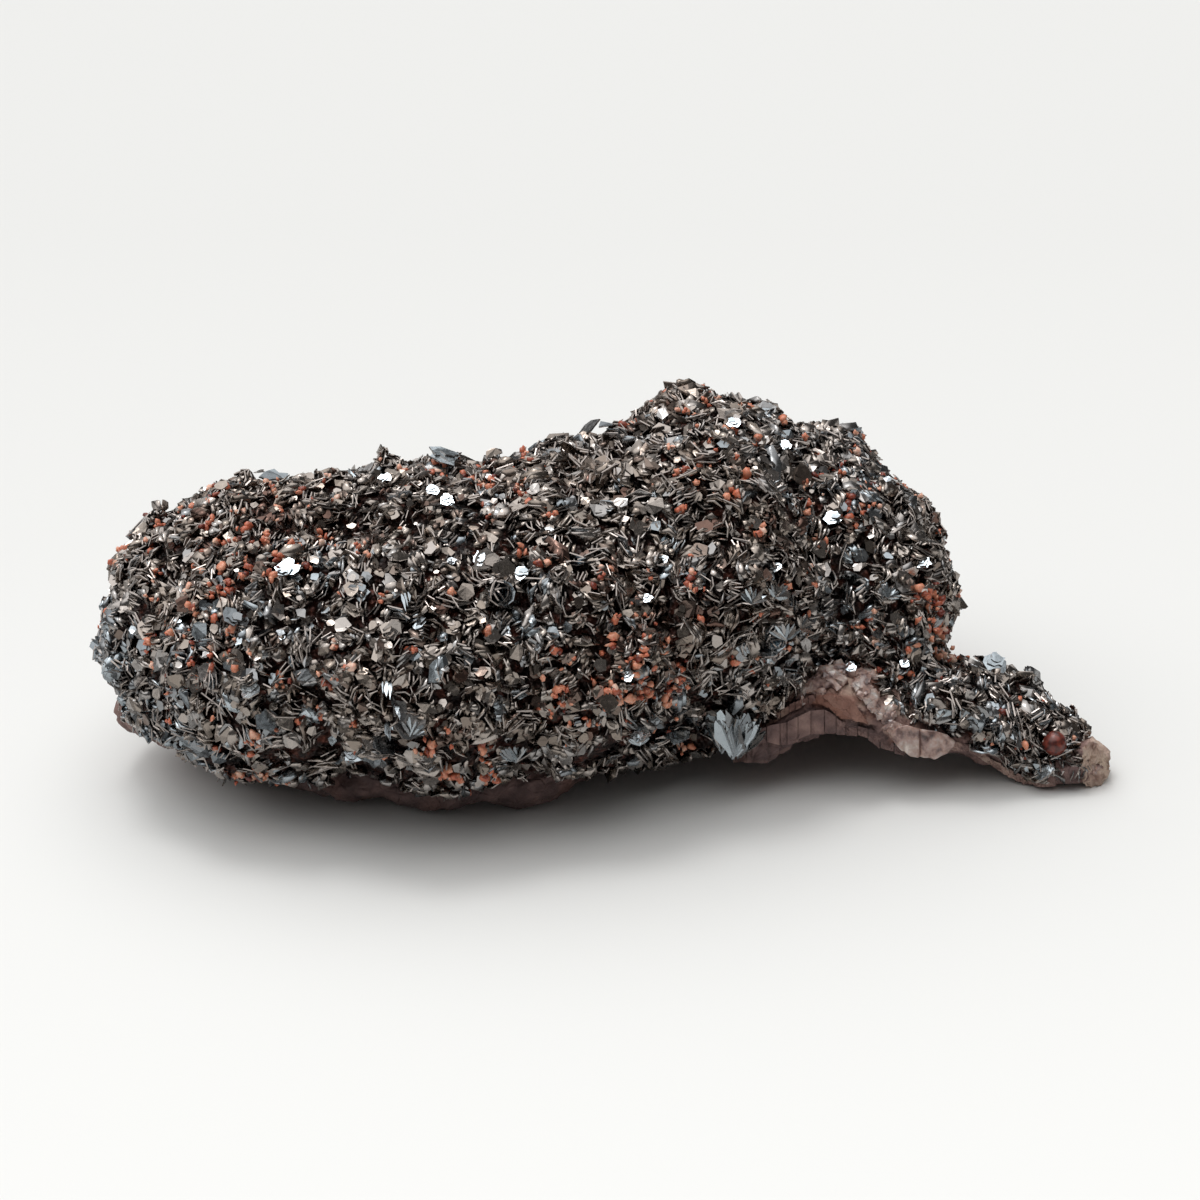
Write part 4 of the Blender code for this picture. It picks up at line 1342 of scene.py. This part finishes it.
# Grains in groups at the richest of scattered places, richness being the sum of two smooth noises, and
# in the clumps
def makeGrains():
    places, normals = scatter(crustSkin, grains["spacing"], grains["crowding"])
    richness = sum(
        smoothNoise(places, size, seed) * amount
        for (amount, size), seed in ((grains["patch"], 60), (grains["cluster"], 61))
    )
    chosen = richness > np.quantile(richness, 1 - grains["share"])
    chosen = chosen & (gapToRock(places) > grains["clearOfRock"])
    group = np.repeat(np.arange(chosen.sum()), rng.choice(grains["group"], chosen.sum()))
    places, normals = places[chosen][group], normals[chosen][group]
    for way in tangents(normals):
        places = places + way * rng.normal(0, grains["spread"], (len(places), 1))
    pixels = np.concatenate([
        rng.normal(0, 1, (number, 2)) * spread * grains["clumpSpread"] + (across, down)
        for across, down, spread, number in grains["clumps"]
    ])
    seen, facing, _ = underPixels(crustTree, pixels)
    places = np.concatenate([places, seen])
    normals = np.concatenate([normals, unit(facing)])
    count = len(places)
    radius = rng.uniform(*grains["radius"], count)
    tip = rng.uniform(*grains["tip"], count)
    tip[-len(seen):] = rng.uniform(*grains["clumpTip"], len(seen))
    axes = np.stack([*tangents(normals), normals], 1)
    centres = places + normals * (tip - radius)[:, None]
    points, faces, each = grainMesh(centres, axes, radius, grains["rows"], grains["columns"], grains["rough"])
    tone = np.repeat(np.clip(rng.normal(*grains["tone"], count), *grains["toneRange"]), each)
    makePiece("quartz_grains", points, faces, grainFinish, "host_rock", tone=tone)


makeGrains()

# Bare quartz. Shells: lobes of the pale seam at the end of the arch, between an upper and a lower line
# of pixels, with ridges spreading from the top. Druse: small crystals on the slope above the arch:
# (pixel across, pixel down, spread in pixels, number, radius in mm).
quartz = dict(
    shells=[(890, 920.4), (919.6, 956)],
    top=[(890, 732), (898, 727), (907, 725), (920, 729), (936, 731), (948, 735), (956, 742)],
    low=[
        (890, 735), (895, 743), (902, 750), (911, 755), (918, 758), (920, 756), (922, 757), (934, 758),
        (943, 755), (950, 750), (956, 744),
    ],
    grid=(14, 34), lift=(0.25, 0.5, 0.2), rough=0.02, thickness=0.9, ridges=13.0, fan=20, scallop=1.8,
    druse=[
        (826, 676, 9, 16, 0.62), (846, 672, 9, 12, 0.55), (860, 685, 8, 14, 0.5), (872, 700, 8, 14, 0.5),
        (884, 716, 7, 14, 0.45), (892, 726, 6, 8, 0.4), (812, 690, 6, 8, 0.45), (866, 672, 7, 8, 0.5),
        (800, 700, 6, 6, 0.36), (1092, 752, 6, 10, 0.34), (1098, 770, 6, 8, 0.34),
    ],
    druseSpread=0.6, druseSize=(0.6, 1.3), druseForm=(1.25, 0.6), druseLift=0.1, druseRough=0.36,
)

# The brown ball near the tip: pixel, radius and lift in mm, tone
ball = dict(pixel=(1053, 743), radius=1.1, lift=0.4, rough=0.03, tone=0.1)


# A shell is a plateau with rounded ends, as (sin(pi u) sin(pi v)) to a small power, and its ridges and
# scalloped edge follow the angle about the middle of its top
def shellMesh(left, right):
    u, v = np.meshgrid(*(np.linspace(0, 1, number) for number in quartz["grid"][::-1]))
    plateau = (np.sin(math.pi * u) * np.sin(math.pi * np.clip(0.12 + 0.76 * v, 0, 1))) ** 0.35
    angle = np.arctan2(v + 0.3, (u - 0.45) * (right - left) / quartz["fan"])
    ridge = np.abs(np.cos(quartz["ridges"] * angle / 2 + left))
    base, height, ridgeHeight = quartz["lift"]
    lift = base + height * plateau + ridgeHeight * ridge * (0.3 + v) * plateau
    lift = (lift + rng.normal(0, quartz["rough"], lift.shape))[None]
    ends = np.array([left]), np.array([right])
    lines = quartz["top"], quartz["low"]
    across, down, depth, deep = slabs(*ends, *lines, quartz["grid"], lift, quartz["thickness"])
    down = down + (quartz["scallop"] * ridge * v**3 * np.sin(math.pi * u))[None]
    return slabMesh(across, down, depth, deep)


# Both shells as one piece
def makeShells():
    points, faces = joinedMeshes([shellMesh(*ends) for ends in quartz["shells"]])
    makePiece("quartz_shells", points, [faces], quartzFinish, "host_rock")


# Crystals of the druse: rough grains, longer one way and flat, each turned at random on the rock
def makeDruse():
    pixels = np.concatenate([
        rng.normal(0, quartz["druseSpread"], (number, 2)) * spread + (x, y)
        for x, y, spread, number, _ in quartz["druse"]
    ])
    sizes = np.concatenate([np.full(number, size) for _, _, _, number, size in quartz["druse"]])
    places, facing, good = underPixels(wholeTree, pixels)
    radius = sizes[good] * rng.uniform(*quartz["druseSize"], good.sum())
    facing = unit(facing)
    side = turned(*tangents(facing), rng.uniform(0, 2 * math.pi, (len(radius), 1)))
    length, height = quartz["druseForm"]
    axes = np.stack([side * length, np.cross(facing, side), facing * height], 1)
    places = places + facing * quartz["druseLift"]
    points, faces, _ = grainMesh(places, axes, radius, 4, 5, quartz["druseRough"])
    flat = np.ones(sum(map(len, faces)), bool)
    makePiece("quartz_druse", points, faces, quartzFinish, "host_rock", flat)


# One smooth grain on the rock under its pixel
def makeBall():
    place, facing, _ = underPixels(wholeTree, [ball["pixel"]])
    facing = unit(facing)
    axes = np.stack([*tangents(facing), facing], 1)
    radius = np.array([ball["radius"]])
    points, faces, _ = grainMesh(place + facing * ball["lift"], axes, radius, 14, 20, ball["rough"])
    makePiece("quartz_ball", points, faces, grainFinish, "host_rock", tone=np.full(len(points), ball["tone"]))


makeShells()
makeDruse()
makeBall()

# Camera at the photograph's viewing angle
cameraData = bpy.data.cameras.new("camera")
cameraData.lens = photoView["lens"]
cameraData.sensor_width = photoView["sensor"]
cameraData.clip_start = 0.01
cameraData.clip_end = 50
camera = addObject("camera", cameraData)
camera.location = Vector(cameraPlace * mm)
camera.rotation_euler = (math.radians(90 - photoView["elevation"]), 0, 0)
bpy.context.scene.camera = camera


# Pale floor that goes from a lighter tone in front to a darker one behind, by y in metres: painted shade for
# the light falling off further back
def makeFloor():
    size = studio["floorSize"]
    mesh = bpy.data.meshes.new("floor")
    corners = [(-size, -size, 0), (size, -size, 0), (size, size, 0), (-size, size, 0)]
    mesh.from_pydata(corners, [], [(0, 1, 2, 3)])
    floor = addObject("floor", mesh)
    paper = startMaterial("matPaper")
    place = addNode(paper, "TexCoord").outputs["Object"]
    back = addNode(paper, "SeparateXYZ", links={0: place}).outputs["Y"]
    tint = addRamp(paper, studio["floorStops"], addRange(paper, back, *studio["floorFade"]))
    endMaterial(paper, {"Roughness": 1.0, "Specular IOR Level": 0.0}, {"Base Color": tint})
    mesh.materials.append(paper)


# The lamp, and a world whose brightness rises smoothly from the room's to the soft box's with the
# cosine of the angle to the box
def makeStudio():
    lamp = bpy.data.lights.new("softLight", "SUN")
    lamp.energy = studio["sunStrength"]
    lamp.angle = math.radians(studio["sunAngle"])
    light = addObject("softLight", lamp)
    light.rotation_euler = Vector(sunFrom).to_track_quat("Z", "Y").to_euler()
    world = bpy.data.worlds.new("studio")
    world.use_nodes = True
    world.node_tree.nodes.clear()
    direction = addNode(world, "TexCoord").outputs["Generated"]
    box = {1: unit(np.array(studio["boxFrom"]))}
    toBox = addNode(world, "VectorMath", {"operation": "DOT_PRODUCT"}, box, {0: direction}).outputs["Value"]
    strength = addRange(
        world, toBox, *studio["boxEdge"], studio["roomStrength"], studio["boxStrength"],
        {"interpolation_type": "SMOOTHSTEP"},
    )
    glow = addNode(world, "Background", links={"Strength": strength})
    addNode(world, "OutputWorld", links={"Surface": glow.outputs[0]})
    bpy.context.scene.world = world
    bpy.context.scene.view_settings.view_transform = "Standard"


makeFloor()
makeStudio()
